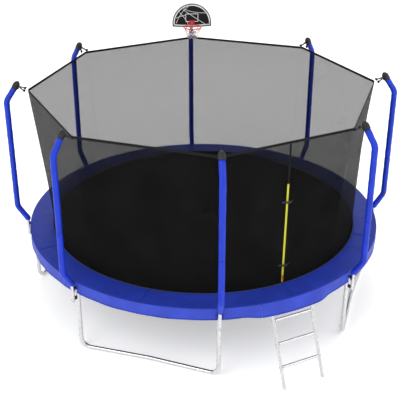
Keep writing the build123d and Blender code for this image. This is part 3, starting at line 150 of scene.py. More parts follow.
def circle(radius, height, steps):
    """Evenly spaced points of a level circle about the centre."""
    return [polar(radius, 360 * k / steps, height) for k in range(steps)]


# ---------------------------------------------------------------- mesh helpers
def make_piece(name, verts, faces, material, body="frame", uvs=None, smooth=True):
    """Mesh object that rides on a body; body None leaves the riding to the caller."""
    mesh = bpy.data.meshes.new(name)
    mesh.from_pydata([tuple(v) for v in verts], [], faces)
    if uvs:
        layer = mesh.uv_layers.new(name="UVMap")
        for loop in mesh.loops:
            layer.data[loop.index].uv = uvs[loop.vertex_index]
    mesh.validate()
    if smooth:
        mesh.shade_smooth()
    else:
        mesh.shade_flat()
    piece = bpy.data.objects.new(name, mesh)
    bpy.context.collection.objects.link(piece)
    mesh.materials.append(material)
    if body:
        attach(piece, body)
    return piece


def grid(rows, columns, place, close_rows=False, close_columns=False, keep=None):
    """Vertices and quads of a surface; place(row, column) gives each point."""
    verts = [place(i, j) for i in range(rows) for j in range(columns)]
    faces = []
    for i in range(rows if close_rows else rows - 1):
        for j in range(columns if close_columns else columns - 1):
            if keep and not keep(i, j):
                continue
            ni, nj = (i + 1) % rows, (j + 1) % columns
            faces.append(
                (i * columns + j, i * columns + nj, ni * columns + nj, ni * columns + j)
            )
    return verts, faces


class Shape:
    """Collects vertices and faces of several simple forms for one piece."""

    def __init__(self):
        self.verts = []
        self.faces = []

    def add(self, verts, faces):
        start = len(self.verts)
        self.verts += verts
        self.faces += [tuple(start + i for i in face) for face in faces]

    def skin(self, count, sides, place, closed):
        """Surface through count rings of points, capped at its ends unless closed."""
        verts, faces = grid(count, sides, place, close_rows=closed, close_columns=True)
        if not closed:
            faces.append(tuple(range(sides - 1, -1, -1)))
            faces.append(tuple(range((count - 1) * sides, count * sides)))
        self.add(verts, faces)

    def tube(self, points, radius, sides, closed=False):
        """Round bar along points, capped unless closed."""
        count = len(points)
        rings = []
        side = None
        for i, point in enumerate(points):
            ahead = points[(i + 1) % count] if closed or i < count - 1 else point
            behind = points[i - 1] if closed or i > 0 else point
            along = (ahead - behind).normalized()
            if side is None:
                helper = UP if abs(along.z) < 0.9 else Vector((1, 0, 0))
                side = along.cross(helper)
            side = (side - along * side.dot(along)).normalized()
            up = along.cross(side)
            rings.append((point, side, up))

        def place(i, j):
            point, across, up = rings[i]
            turn = 2 * pi * j / sides
            return point + (across * cos(turn) + up * sin(turn)) * radius

        self.skin(count, sides, place, closed)

    def ribbon(self, points, across, out, width, thick, closed=False):
        """Flat strap along points. across and out are its width and face directions."""
        corners = [(-0.5, -0.5), (-0.5, 0.5), (-0.3, 0.62), (0.3, 0.62), (0.5, 0.5)]
        corners += [(0.5, -0.5), (0.3, -0.62), (-0.3, -0.62)]

        def place(i, j):
            w = width[i] if isinstance(width, list) else width
            a, b = corners[j]
            return points[i] + across[i] * (a * w) + out[i] * (b * thick)

        self.skin(len(points), len(corners), place, closed)

    def block(self, centre, axes, sizes):
        """Small six-sided block with its own axes."""
        signs = [(a, b, c) for a in (-1, 1) for b in (-1, 1) for c in (-1, 1)]
        verts = [
            centre + sum((axes[k] * (s[k] * sizes[k] / 2) for k in range(3)), Vector())
            for s in signs
        ]
        faces = [(0, 1, 3, 2), (4, 6, 7, 5), (0, 4, 5, 1), (2, 3, 7, 6), (0, 2, 6, 4)]
        self.add(verts, faces + [(1, 5, 7, 3)])

    def piece(self, name, material, body="frame", smooth=True):
        return make_piece(name, self.verts, self.faces, material, body, smooth=smooth)


def directions(points):
    """Direction of an open path at each of its points."""
    last = len(points) - 1
    return [
        (points[min(k + 1, last)] - points[max(k - 1, 0)]).normalized()
        for k in range(len(points))
    ]


def rounded(points, bends, step):
    """Points along a (distance, height) polyline with its corners rounded."""
    line = [points[0]]
    for k in range(1, len(points) - 1):
        before, corner, after = (Vector(points[k + d]) for d in (-1, 0, 1))
        into, away = (corner - before).normalized(), (after - corner).normalized()
        turn = acos(max(-1.0, min(1.0, into.dot(away))))
        reach = bends[k - 1] * tan(turn / 2)
        side = (away - into).normalized()
        centre = corner + side * (bends[k - 1] / cos(turn / 2))
        start = corner - into * reach
        spoke = start - centre
        arc = max(3, int(bends[k - 1] * turn / step))
        sign = 1 if into.x * away.y - into.y * away.x > 0 else -1
        for m in range(arc + 1):
            angle = sign * turn * m / arc
            turned = Vector(
                (
                    spoke.x * cos(angle) - spoke.y * sin(angle),
                    spoke.x * sin(angle) + spoke.y * cos(angle),
                )
            )
            line.append(tuple(centre + turned))
    line.append(points[-1])
    dense = [Vector(line[0])]
    for a, b in zip(line, line[1:]):
        run = (Vector(b) - Vector(a)).length
        cuts = max(1, int(run / step))
        dense += [Vector(a).lerp(Vector(b), (c + 1) / cuts) for c in range(cuts)]
    return dense


def tip_point(along):
    """Point on a post's leaning top, as (distance, height)."""
    lean = radians(TIP_LEAN)
    return POST_HEAD[0] - sin(lean) * along, POST_HEAD[1] + cos(lean) * along


# ---------------------------------------------------------------- materials
class Finish:
    """Node material with a principled shader and a few procedural helpers."""

    def __init__(
        self, name, colour, roughness, metallic=0.0, coordinates="Object", gloss=0.5
    ):
        self.material = bpy.data.materials.new(name)
        self.material.use_nodes = True
        self.tree = self.material.node_tree
        self.shader = self.tree.nodes["Principled BSDF"]
        self.shader.inputs["Base Color"].default_value = (*colour, 1)
        self.shader.inputs["Roughness"].default_value = roughness
        self.shader.inputs["Metallic"].default_value = metallic
        self.shader.inputs["Specular IOR Level"].default_value = gloss
        source = self.tree.nodes.new("ShaderNodeTexCoord")
        self.where = source.outputs[coordinates]
        self.relief = None

    def link(self, output, target):
        self.tree.links.new(output, target)

    def math(self, operation, first, second=None):
        """Output of a math node; each operand is a number or another output."""
        node = self.tree.nodes.new("ShaderNodeMath")
        node.operation = operation
        for socket, value in zip(node.inputs, (first, second)):
            if value is None:
                continue
            if isinstance(value, (int, float)):
                socket.default_value = value
            else:
                self.link(value, socket)
        return node.outputs[0]

    def noise(self, scale, detail, stretch=(1, 1, 1)):
        """Noise over the piece's own coordinates, stretched first."""
        mapping = self.tree.nodes.new("ShaderNodeMapping")
        mapping.inputs["Scale"].default_value = stretch
        self.link(self.where, mapping.inputs["Vector"])
        node = self.tree.nodes.new("ShaderNodeTexNoise")
        node.inputs["Scale"].default_value = scale
        node.inputs["Detail"].default_value = detail
        self.link(mapping.outputs[0], node.inputs["Vector"])
        return node.outputs["Fac"]

    def axes(self):
        node = self.tree.nodes.new("ShaderNodeSeparateXYZ")
        self.link(self.where, node.inputs[0])
        return node.outputs

    def colours(self, factor, stops):
        """Base colour from a factor through a ramp of (position, colour)."""
        ramp = self.tree.nodes.new("ShaderNodeValToRGB")
        self.link(factor, ramp.inputs[0])
        elements = ramp.color_ramp.elements
        while len(elements) < len(stops):
            elements.new(0.5)
        for element, (position, colour) in zip(elements, stops):
            element.position = position
            element.color = (*colour, 1)
        self.link(ramp.outputs[0], self.shader.inputs["Base Color"])

    def roughness(self, factor, low, high):
        """Roughness that follows a factor from low to high."""
        spread = self.math("MULTIPLY", factor, high - low)
        self.link(self.math("ADD", spread, low), self.shader.inputs["Roughness"])

    def bump(self, factor, depth, strength):
        """Relief from a factor, on top of any relief added before."""
        node = self.tree.nodes.new("ShaderNodeBump")
        node.inputs["Strength"].default_value = strength
        node.inputs["Distance"].default_value = depth
        self.link(factor, node.inputs["Height"])
        if self.relief:
            self.link(self.relief, node.inputs["Normal"])
        self.relief = node.outputs[0]
        self.link(self.relief, self.shader.inputs["Normal"])

    def weave(self, pitch):
        """Over-and-under pattern of threads on the piece's own coordinates."""
        u, v = self.axes()[:2]
        a = self.math("SINE", self.math("MULTIPLY", u, 2 * pi / pitch))
        b = self.math("SINE", self.math("MULTIPLY", v, 2 * pi / pitch))
        return self.math("ADD", self.math("MULTIPLY", self.math("MULTIPLY", a, b), 0.5), 0.5)


def shades(colour, low, high):
    """The same colour darker and lighter, as ramp stops."""
    return [
        (0.3, tuple(c * low for c in colour)),
        (0.7, tuple(min(1.0, c * high) for c in colour)),
    ]


def galvanised(name, tone):
    """Zinc-coated steel with a faint blotchy grain."""
    finish = Finish(name, (tone, tone, tone), 0.3, 1.0)
    finish.colours(finish.noise(34, 4), shades((tone, tone, tone * 1.01), 0.86, 1.08))
    finish.roughness(finish.noise(12, 3), 0.2, 0.38)
    finish.bump(finish.noise(260, 2), 0.0004, 0.3)
    return finish.material


def plastic(name, colour, roughness=0.45):
    """Moulded plastic with a fine surface grain."""
    finish = Finish(name, colour, roughness, gloss=0.3)
    finish.colours(finish.noise(20, 3), shades(colour, 0.85, 1.2))
    finish.roughness(finish.noise(60, 2), roughness - 0.06, roughness + 0.08)
    finish.bump(finish.noise(900, 1), 0.0003, 0.25)
    return finish.material


def painted(name, colour):
    """Paint under a thin clear coat."""
    finish = Finish(name, colour, 0.32)
    finish.shader.inputs["Coat Weight"].default_value = 0.3
    finish.shader.inputs["Coat Roughness"].default_value = 0.15
    finish.colours(finish.noise(9, 3), shades(colour, 0.9, 1.1))
    finish.bump(finish.noise(420, 2), 0.0003, 0.25)
    return finish.material


def coated_fabric(name, colour, low=0.86, high=1.14, roughness=0.5):
    """PVC-coated cloth: fine woven grain under a low sheen, with slow colour change."""
    finish = Finish(name, colour, roughness, coordinates="UV", gloss=0.25)
    finish.colours(finish.noise(5, 4), shades(colour, low, high))
    finish.roughness(finish.noise(11, 3), roughness - 0.1, roughness + 0.12)
    finish.bump(finish.noise(9, 3, (1, 2.5, 1)), 0.006, 0.4)
    finish.bump(finish.weave(0.0016), 0.0004, 0.5)
    return finish.material


def webbing(name, colour):
    """Dull woven strap cloth."""
    finish = Finish(name, colour, 0.85, gloss=0.1)
    finish.colours(finish.noise(420, 2), shades(colour, 0.6, 1.5))
    finish.bump(finish.noise(700, 1, (1, 1, 3)), 0.0006, 0.6)
    return finish.material


def mat_weave():
    """Tight woven polypropylene cloth with slow, faint blotches."""
    finish = Finish("mat_weave", (0.006, 0.006, 0.006), 0.8, coordinates="UV", gloss=0.08)
    threads = finish.weave(0.003)
    blotch = finish.noise(1.4, 4)
    mixed = finish.math("ADD", finish.math("MULTIPLY", threads, 0.4), blotch)
    finish.colours(
        mixed, [(0.35, (0.0035, 0.0035, 0.0037)), (1.0, (0.009, 0.009, 0.0095))]
    )
    finish.bump(threads, 0.0007, 0.7)
    return finish.material


def net_mesh():
    """Knitted net: diamond holes, half seen through, between black threads."""
    black = (0.006, 0.006, 0.006)
    finish = Finish("net_mesh", black, 0.9, coordinates="UV", gloss=0.03)
    u, v = finish.axes()[:2]
    pitch = 0.0075
    edge = 0.46
    thread_cover, hole_loss = 0.97, 0.47
    lines = []
    for other in ("ADD", "SUBTRACT"):
        diagonal = finish.math(other, u, v)
        wave = finish.math("SINE", finish.math("MULTIPLY", diagonal, pi / pitch))
        lines.append(finish.math("GREATER_THAN", finish.math("ABSOLUTE", wave), edge))
    hole = finish.math("MULTIPLY", lines[0], lines[1])
    cover = finish.math("SUBTRACT", thread_cover, finish.math("MULTIPLY", hole, hole_loss))
    finish.link(cover, finish.shader.inputs["Alpha"])
    finish.bump(hole, -0.0006, 0.5)
    finish.colours(finish.noise(3, 3), shades(black, 0.7, 1.4))
    return finish.material


def cord_fibre():
    """Red cord near the rim that turns white towards the hoop net's foot."""
    finish = Finish("hoop_cord", (0.85, 0.8, 0.78), 0.8)
    rise = finish.math("SUBTRACT", finish.axes()[2], hoop_net_low[2])
    share = finish.math("DIVIDE", rise, hoop_net_high[2] - hoop_net_low[2])
    finish.colours(share, [(0.5, (0.86, 0.83, 0.81)), (0.7, (0.75, 0.06, 0.06))])
    finish.bump(finish.noise(900, 1, (1, 1, 4)), 0.0004, 0.6)
    return finish.material


def zip_cloth():
    yellow = (0.62, 0.6, 0.03)
    finish = Finish("zip_cloth", yellow, 0.75)
    finish.colours(finish.noise(160, 2), shades(yellow, 0.8, 1.15))
    finish.bump(finish.noise(900, 1), 0.0004, 0.5)
    return finish.material


STEEL = galvanised("galvanised_steel", 0.66)
ZINC = galvanised("zinc_steel", 0.55)
BLACK = plastic("black_plastic", (0.014, 0.014, 0.015))
RUBBER = plastic("grey_trim", (0.36, 0.37, 0.38), 0.55)
ORANGE = plastic("orange_plastic", (0.72, 0.07, 0.02), 0.3)
BOARD = plastic("board_black", (0.006, 0.006, 0.007), 0.45)
PRINT = plastic("board_print", (0.82, 0.82, 0.82), 0.4)
RED = painted("red_paint", (0.56, 0.02, 0.02))
GREY = painted("grey_paint", (0.52, 0.53, 0.54))
DARK = painted("dark_metal", (0.03, 0.03, 0.032))
# Pad top and skirt are one cloth in lit and shaded copies: the top's darker blue is painted shade,
# the skirt's lighter blue painted light.
SHADED_PAD_BLUE = coated_fabric("pad_top_cloth_painted_shade", (0.006, 0.026, 0.31))
LIT_SKIRT_BLUE = coated_fabric("skirt_cloth_painted_light", (0.028, 0.055, 0.46))
HEM_BLUE = coated_fabric("skirt_hem_cloth", (0.015, 0.035, 0.36))
SLEEVE_BLUE = coated_fabric("sleeve_cloth", (0.008, 0.036, 0.5), 0.8, 1.15, 0.42)
BINDING = webbing("pad_binding", (0.05, 0.052, 0.02))
WEBBING = webbing("black_webbing", (0.012, 0.012, 0.013))
MAT = mat_weave()
NET = net_mesh()
CORD = cord_fibre()
YELLOW = zip_cloth()


def paint_cad_nodes():
    """Better materials on the CAD nodes that stay."""
    finishes = [
        (("top_rails", "rail_tees", "leg_", "enclosure_pole", "ladder_r"), STEEL),
        (("leg_screws", "pole_bolts", "ladder_bolts", "ladder_hooks"), ZINC),
        (("hoop_bolts", "mat_rings"), ZINC),
        (("pole_spacers", "pole_plugs", "pole_caps", "cap_screws"), BLACK),
        (("buckle_socket_lower", "buckle_socket_upper", "clamp_knob"), BLACK),
        (("buckle_tongue",), BLACK),
        (("hoop_backboard",), BOARD),
        (("hoop_board_trim",), RUBBER),
        (("hoop_rim",), RED),
        (("hoop_bracket",), GREY),
        (("zip_slider",), DARK),
        (("zip_pull",), ORANGE),
    ]
    for node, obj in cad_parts.items():
        for prefixes, material in finishes:
            if node.startswith(prefixes):
                for place in obj.material_slots:
                    place.material = material


# ---------------------------------------------------------------- camera, light, floor
def set_stage():
    scene = bpy.context.scene
    data = bpy.data.cameras.new("camera")
    camera = bpy.data.objects.new("camera", data)
    bpy.context.collection.objects.link(camera)
    camera.location = (-0.7206, -9.0641, 5.7298)
    target = Vector((-0.0418, 0.0031, 1.0554))
    camera.rotation_euler = (target - camera.location).to_track_quat("-Z", "Y").to_euler()
    data.sensor_width = 36
    data.lens = 73.43
    data.clip_end = 200
    scene.camera = camera
    scene.view_settings.view_transform = "Standard"

    world = bpy.data.worlds.new("studio")
    world.use_nodes = True
    sky = world.node_tree.nodes["Background"]
    sky.inputs["Color"].default_value = (1.0, 1.0, 1.0, 1)
    sky.inputs["Strength"].default_value = 0.95
    scene.world = world

    for name, place, size, power in (
        ("key_light", (-5.5, -7.0, 8.5), 5.0, 300),
        ("fill_light", (7.0, -5.0, 5.0), 6.0, 130),
        ("back_light", (1.0, 8.5, 7.5), 6.0, 120),
    ):
        light = bpy.data.lights.new(name, "AREA")
        light.size = size
        light.energy = power
        lamp = bpy.data.objects.new(name, light)
        lamp.location = place
        aim = Vector((0, 0, 1.2)) - Vector(place)
        lamp.rotation_euler = aim.to_track_quat("-Z", "Y").to_euler()
        bpy.context.collection.objects.link(lamp)

    pale = (0.93, 0.93, 0.93)
    paper = Finish("studio_floor", pale, 0.9)
    paper.colours(paper.noise(1.5, 2), shades(pale, 0.99, 1.0))
    paper.shader.inputs["Emission Color"].default_value = (1.0, 1.0, 1.0, 1)
    paper.shader.inputs["Emission Strength"].default_value = 0.35
    half = 40.0
    corners = [(-half, -half, 0), (half, -half, 0), (half, half, 0), (-half, half, 0)]
    floor = make_piece("studio_floor_plane", corners, [(0, 1, 2, 3)], paper.material, None)


# ---------------------------------------------------------------- safety pad
def flare_at(azimuth):
    """How far the skirt is pushed out by the ladder, from 0 to 1."""
    off = abs(azimuth - LADDER_AZIMUTH)
    full, none = FLAP_HALF - 1.2, FLAP_HALF + 5.5
    share = min(1.0, max(0.0, (none - off) / (none - full)))
    return share * share * (3 - 2 * share)


def skirt_radius(azimuth, height):
    """Outer face of the hanging skirt: slight waves, and the ladder's bulge."""
    drop = (SKIRT_TOP - height) / (SKIRT_TOP - SKIRT_BOTTOM)
    wave = 0.0022 * sin(radians(azimuth * 23)) + 0.0016 * sin(radians(azimuth * 41 + 50))
    flare = flare_at(azimuth)
    return PAD_OUTER - 0.001 + drop * (wave * (1 - flare) + FLAP_FLARE * flare)


def hanging_cloth(name, azimuths, rows, proud, thick, material, body):
    """Cloth on the skirt's outer face, slit where the post spacers pass."""

    def place(i, j):
        radius = skirt_radius(azimuths[j], rows[i]) + proud[i]
        return polar(radius, azimuths[j], rows[i])

    def keep(i, j):
        middle = (azimuths[j] + azimuths[j + 1]) / 2
        near_post = min(abs((middle - post + 180) % 360 - 180) for post in all_posts)
        return near_post > SKIRT_STEP / 4 or rows[i + 1] > SLOT_TOP - 0.001

    verts, faces = grid(len(rows), len(azimuths), place, keep=keep)
    uvs = [(radians(azimuths[k % len(azimuths)]) * PAD_OUTER, v.z) for k, v in enumerate(verts)]
    piece = make_piece(name, verts, faces, material, body, uvs)
    thickness = piece.modifiers.new("thickness", "SOLIDIFY")
    thickness.thickness = thick
    thickness.offset = -1
    return piece


def skirt_piece(name, azimuths, body):
    """Hanging part of the skirt over some azimuths."""
    rows = [SKIRT_TOP, PAD_TOP - 0.016, PAD_TOP - 0.034, PAD_TOP - 0.05, SLOT_TOP]
    steps = 7
    rows += [SLOT_TOP + (SKIRT_BOTTOM - SLOT_TOP) * k / steps for k in range(1, steps + 1)]
    return hanging_cloth(name, azimuths, rows, [0] * len(rows), 0.0016, LIT_SKIRT_BLUE, body)


def skirt_hem(name, azimuths, body):
    """Sewn hem along the skirt's lower edge."""
    rows = [SKIRT_BOTTOM + 0.013, SKIRT_BOTTOM + 0.0065, SKIRT_BOTTOM + 0.0005]
    proud = [0.0004, 0.0012, 0.0004]
    return hanging_cloth(name, azimuths, rows, proud, 0.003, HEM_BLUE, body)


def pad_profile():
    """Cross-section of the padded ring, round from its inner edge."""
    low, top = PAD_UNDER + 0.0002, PAD_TOP
    inner, outer = PAD_INNER, PAD_OUTER - 0.0012
    return [
        (inner, low + 0.001),
        (inner, low + 0.006),
        (inner + 0.006, top - 0.002),
        (inner + 0.03, top - 0.0004),
        (inner + 0.10, top),
        (inner + 0.18, top),
        (outer - 0.04, top - 0.0006),
        (outer - 0.012, top - 0.0016),
        (outer - 0.003, top - 0.005),
        (outer, top - 0.010),
        (outer - 0.003, low),
        (inner + 0.14, low),
    ]


def pad_piece():
    """Padded ring sewn from eight lengths, dipping slightly at its seams."""
    profile = pad_profile()
    columns = 400
    crest = 0.0009

    def place(i, j):
        azimuth = 360 * i / columns
        radius, height = profile[j]
        from_seam = abs((azimuth - FIRST_POST) % POST_STEP - POST_STEP / 2)
        dip = 0.0035 * max(0.0, 1 - from_seam / 0.9) ** 2
        ripple = crest * sin(radians(azimuth * 37)) * sin(radians(azimuth * 7 + radius * 900))
        upper = height > PAD_UNDER + 0.009
        return polar(radius, azimuth, height - (dip - ripple + crest if upper else 0))

    verts, faces = grid(columns, len(profile), place, close_rows=True, close_columns=True)
    uvs = [
        (radians(360 * i / columns) * RING_RADIUS, radius)
        for i in range(columns)
        for radius, _ in profile
    ]
    return make_piece("safety_pad_cover", verts, faces, SHADED_PAD_BLUE, "frame", uvs)


def make_pad():
    pad = pad_piece()
    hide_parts("safety_pad")


def make_skirt():
    """Skirt round the ring; the part in front of the ladder is a separate flap, bulged out over
    it.
    """
    count = round(360 / SKIRT_STEP)
    first = FIRST_POST + SKIRT_STEP / 2
    around = [first + SKIRT_STEP * k for k in range(count + 1)]
    low, high = LADDER_AZIMUTH - FLAP_HALF, LADDER_AZIMUTH + FLAP_HALF
    before = [a for a in around if a < low] + [low]
    after = [high] + [a for a in around if a > high]
    flap_steps = 24
    over = [low + 0.03 + (high - low - 0.06) * k / flap_steps for k in range(flap_steps + 1)]

    left = skirt_piece("pad_skirt_left", before, "frame")
    right = skirt_piece("pad_skirt_right", after, "frame")
    left_hem = skirt_hem("pad_skirt_hem_left", before, "frame")
    right_hem = skirt_hem("pad_skirt_hem_right", after, "frame")
    flap = skirt_piece("pad_skirt_flap", over, None)
    flap_hem = skirt_hem("pad_skirt_flap_hem", over, None)
    start = polar(PAD_OUTER, LADDER_AZIMUTH, RAIL_Z + 0.005)
    end = polar(PAD_OUTER, LADDER_AZIMUTH, SKIRT_BOTTOM + 0.02)
    for piece in (flap, flap_hem):
        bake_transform(piece)
    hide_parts("pad_flap")


def make_pad_trim():
    """Binding round the pad's inner edge, and two rows of stitching at each seam."""
    edge = Shape()
    bead = 0.0055
    edge.tube(circle(PAD_INNER + 0.002, PAD_TOP - 0.006, 240), bead, 8, closed=True)
    binding = edge.piece("pad_inner_binding", BINDING)

    seams = Shape()
    thread, sunk = 0.0011, 0.0022
    radii = [PAD_INNER + 0.01 + 0.026 * k for k in range(11)]
    for post in all_posts:
        for off in (-0.16, 0.16):
            azimuth = post + POST_STEP / 2 + off
            seams.tube([polar(radius, azimuth, PAD_TOP - sunk) for radius in radii], thread, 5)
    stitching = seams.piece("pad_seam_stitching", HEM_BLUE)


# ---------------------------------------------------------------- foam sleeves
def sleeve_path(upper):
    """Centre line of a post's upper or lower sleeve, as (distance, height) points."""
    step = 0.012
    share = (SLEEVE_JOINT - POST_KNEE[1]) / (POST_HEAD[1] - POST_KNEE[1])
    joint = (POST_KNEE[0] + (POST_HEAD[0] - POST_KNEE[0]) * share, SLEEVE_JOINT)
    if upper:
        return rounded([joint, POST_HEAD, tip_point(SLEEVE_TIP)], [HEAD_BEND], step)
    start = (POST_FOOT[0], sleeve_low[2] + 0.0005)
    end = (joint[0], joint[1] - 0.0006)
    return rounded([start, POST_FOOT, POST_KNEE, end], [FOOT_BEND, KNEE_BEND], step)


def sleeve_mesh(path):
    """Foam tube with gathered ends, slack on its sides and wrinkles inside its bends."""
    count, sides = len(path), 24
    gather_depth, gather_length = 0.004, 0.012
    wrinkle_depth, wrinkle_pitch = 0.0022, 0.021
    length = [0.0]
    for a, b in zip(path, path[1:]):
        length.append(length[-1] + (b - a).length)
    total = length[-1]
    turns = [0.0] * count
    for i in range(1, count - 1):
        before, after = path[i] - path[i - 1], path[i + 1] - path[i]
        turns[i] = before.x * after.y - before.y * after.x
        turns[i] /= max(1e-9, before.length * after.length * max(before.length, 1e-4))

    def place(i, j):
        ahead, behind = path[min(i + 1, count - 1)], path[max(i - 1, 0)]
        along = (ahead - behind).normalized()
        outward = Vector((along.y, -along.x))
        turn = 2 * pi * j / sides
        end = min(length[i], total - length[i])
        gather = gather_depth * max(0.0, 1 - end / gather_length) ** 2
        bend = min(1.0, abs(turns[i]) * 0.16)
        inside = max(0.0, cos(turn) * (1 if turns[i] < 0 else -1))
        wrinkle = wrinkle_depth * bend * inside * sin(length[i] * 2 * pi / wrinkle_pitch)
        slack = 0.0007 * sin(length[i] * 31 + 2 * turn) + 0.0005 * sin(length[i] * 77 + turn)
        radius = SLEEVE_RADIUS - 0.001 - gather + wrinkle + slack
        flat = path[i] + outward * (radius * cos(turn))
        return Vector((flat.x, radius * sin(turn), flat.y))

    verts, faces = grid(count, sides, place, close_columns=True)
    for row in (0, count - 1):
        ring = [row * sides + j for j in range(sides)]
        faces.append(tuple(ring if row else ring[::-1]))
    uvs = [(j / sides * 0.22, length[i]) for i in range(count) for j in range(sides)]
    return verts, faces, uvs


def make_sleeves():
    """Two lengths of sleeve on each post, alike but for their place in the cloth."""
    for upper, node in ((False, "foam_sleeves_lower"), (True, "foam_sleeves_upper")):
        verts, faces, uvs = sleeve_mesh(sleeve_path(upper))
        part = "upper" if upper else "lower"
        first = None
        for index, azimuth in enumerate(all_posts):
            turn = radians(azimuth)
            turned = [
                Vector((v.x * cos(turn) - v.y * sin(turn), v.x * sin(turn) + v.y * cos(turn), v.z))
                for v in verts
            ]
            shifted = [(u + index * 0.37, v + index * 0.53) for u, v in uvs]
            name = f"foam_sleeve_{part}_{index + 1}"
            piece = make_piece(name, turned, faces, SLEEVE_BLUE, "frame", shifted)
            first = first or piece
        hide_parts(node)


# ---------------------------------------------------------------- mat and springs
def make_mat():
    """Woven mat with a folded hem, sewn in two rows."""
    radius, low, top = MAT_RADIUS, mat_low[2], mat_high[2]
    hem_width, half_thick = 0.045, 0.0015
    hem = radius - hem_width
    upper, lower = MAT_Z + half_thick, MAT_Z - half_thick
    rings = [(distance, upper) for distance in (0.001, 0.5, 1.0, 1.45, hem - 0.002)]
    rings += [(hem, top - 0.001), (hem + 0.004, top), (radius - 0.003, top)]
    rings += [(radius, top - 0.0015), (radius, low + 0.0015), (radius - 0.003, low)]
    rings += [(hem + 0.004, low), (hem, low + 0.001)]
    rings += [(distance, lower) for distance in (hem - 0.002, 1.0, 0.001)]
    columns = 240

    def place(i, j):
        return polar(rings[i][0], 360 * j / columns, rings[i][1])

    verts, faces = grid(len(rings), columns, place, close_rows=True, close_columns=True)
    uvs = [(v.x, v.y) for v in verts]
    mat = make_piece("woven_mat", verts, faces, MAT, "jumping_mat", uvs)
    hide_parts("mat")

    stitches = Shape()
    for row in (hem + 0.006, radius - 0.006):
        stitches.tube(circle(row, top + 0.0001, columns), 0.0009, 4, closed=True)
    sewn = stitches.piece("mat_hem_stitching", WEBBING, "jumping_mat")


def make_mat_tabs():
    """Webbing tab from the mat's edge round the bar of each triangle ring."""
    tabs = Shape()
    width, thick = 0.024, 0.001
    for azimuth in spring_azimuths:
        outward = polar(1, azimuth, 0)
        across = polar(1, azimuth + 90, 0)
        eye = outward * TAB_EYE + UP * MAT_Z
        inner = outward * (MAT_RADIUS + 0.0003) + UP * MAT_Z
        loop = [inner - UP * TAB_EYE_RADIUS]
        for k in range(9):
            turn = radians(-90 + 22.5 * k)
            loop.append(eye + (outward * cos(turn) + UP * sin(turn)) * TAB_EYE_RADIUS)
        loop.append(inner + UP * TAB_EYE_RADIUS)
        normals = [along.cross(across) for along in directions(loop)]
        tabs.ribbon(loop, [across] * len(loop), normals, width, thick)
    straps = tabs.piece("mat_tab_loops", WEBBING, "jumping_mat")
    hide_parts("mat_ring_tabs")


def spring_shape(azimuth):
    """Close-wound coil with a hook at each end."""
    outward, across = polar(1, azimuth, 0), polar(1, azimuth + 90, 0)

    def at(radius, rise=0.0):
        return outward * radius + UP * (RAIL_Z + rise)

    shape = Shape()
    turns, per_turn = 26, 9
    coil = []
    for k in range(turns * per_turn + 1):
        share = k / (turns * per_turn)
        angle = 2 * pi * k / per_turn
        taper = min(1.0, 0.35 + 6 * min(share, 1 - share))
        radius = COIL_INNER + 0.004 + (COIL_OUTER - COIL_INNER - 0.008) * share
        swing = (across * cos(angle) + UP * sin(angle)) * (COIL_RADIUS * taper)
        coil.append(at(radius) + swing)
    shape.tube(coil, COIL_WIRE, 4)
    hook_in = [at(COIL_INNER + 0.006), at(HOOK_TIP + 0.008), at(HOOK_TIP + 0.0015, -0.001)]
    hook_in += [at(HOOK_TIP, -0.004), at(HOOK_TIP, -0.009)]
    hole = SPRING_HOLE
    hook_out = [at(COIL_OUTER - 0.006), at(hole - 0.026), at(hole - 0.023, 0.003)]
    hook_out += [at(hole - 0.018, 0.0145), at(hole - 0.015, 0.0165), at(hole - 0.004, 0.0165)]
    hook_out += [at(hole - 0.001, 0.0155), at(hole, 0.0125), at(hole, 0.0076)]
    shape.tube(hook_in, COIL_WIRE, 6)
    shape.tube(hook_out, COIL_WIRE, 6)
    return shape


def make_springs():
    """One spring for each triangle ring."""
    first = None
    for index, azimuth in enumerate(spring_azimuths):
        spring = spring_shape(azimuth).piece(f"spring_{index + 1}", ZINC, None)
        start = polar(SPRING_HOLE, azimuth, RAIL_Z)
        end = polar(SPRING_END, azimuth, RAIL_Z)
        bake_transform(spring)
        first = first or spring
    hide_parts("springs")


# ---------------------------------------------------------------- safety net
def net_point(share_up, azimuth):
    """Point of the net's middle surface: round at the mat, eight-sided at the top."""
    off = (azimuth - FIRST_POST) % POST_STEP - POST_STEP / 2
    middle = azimuth - off
    foot = polar(NET_FOOT, azimuth, NET_BOTTOM)
    across = NET_CORNER * sin(HALF_STEP) * off / (POST_STEP / 2)
    apothem = NET_CORNER * cos(HALF_STEP)
    outward, side = polar(1, middle, 0), polar(1, middle + 90, 0)
    head = outward * apothem + side * across + UP * NET_TOP
    return foot.lerp(head, share_up)


def make_net():
    """One panel from post to post, bellied inward but calm beside the zip."""
    rows, columns = 22, 25
    belly_depth, ripple_depth = 0.006, 0.002
    calm_span = 7
    cloth_width = 1.5
    for index, post in enumerate(all_posts):
        azimuths = [post + POST_STEP * k / (columns - 1) for k in range(columns)]
        azimuths[-1] -= 1e-6  # keeps the last column on this panel's flat side

        def place(i, j):
            share = i / (rows - 1)
            across = j / (columns - 1)
            point = net_point(share, azimuths[j])
            calm = min(1.0, abs(azimuths[j] - ZIP_AZIMUTH) / calm_span)
            belly = -belly_depth * sin(pi * share) * sin(pi * across)
            ripple = ripple_depth * sin(9 * pi * across + index) * sin(pi * share)
            return point + polar((belly + ripple) * calm, post + POST_STEP / 2, 0)

        verts, faces = grid(rows, columns, place)
        uvs = [
            (j / (columns - 1) * cloth_width, i / (rows - 1) * (NET_TOP - NET_BOTTOM))
            for i in range(rows)
            for j in range(columns)
        ]
        panel = make_piece(f"net_panel_{index + 1}", verts, faces, NET, "frame", uvs)
        if index == 0:
            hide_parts("safety_net")


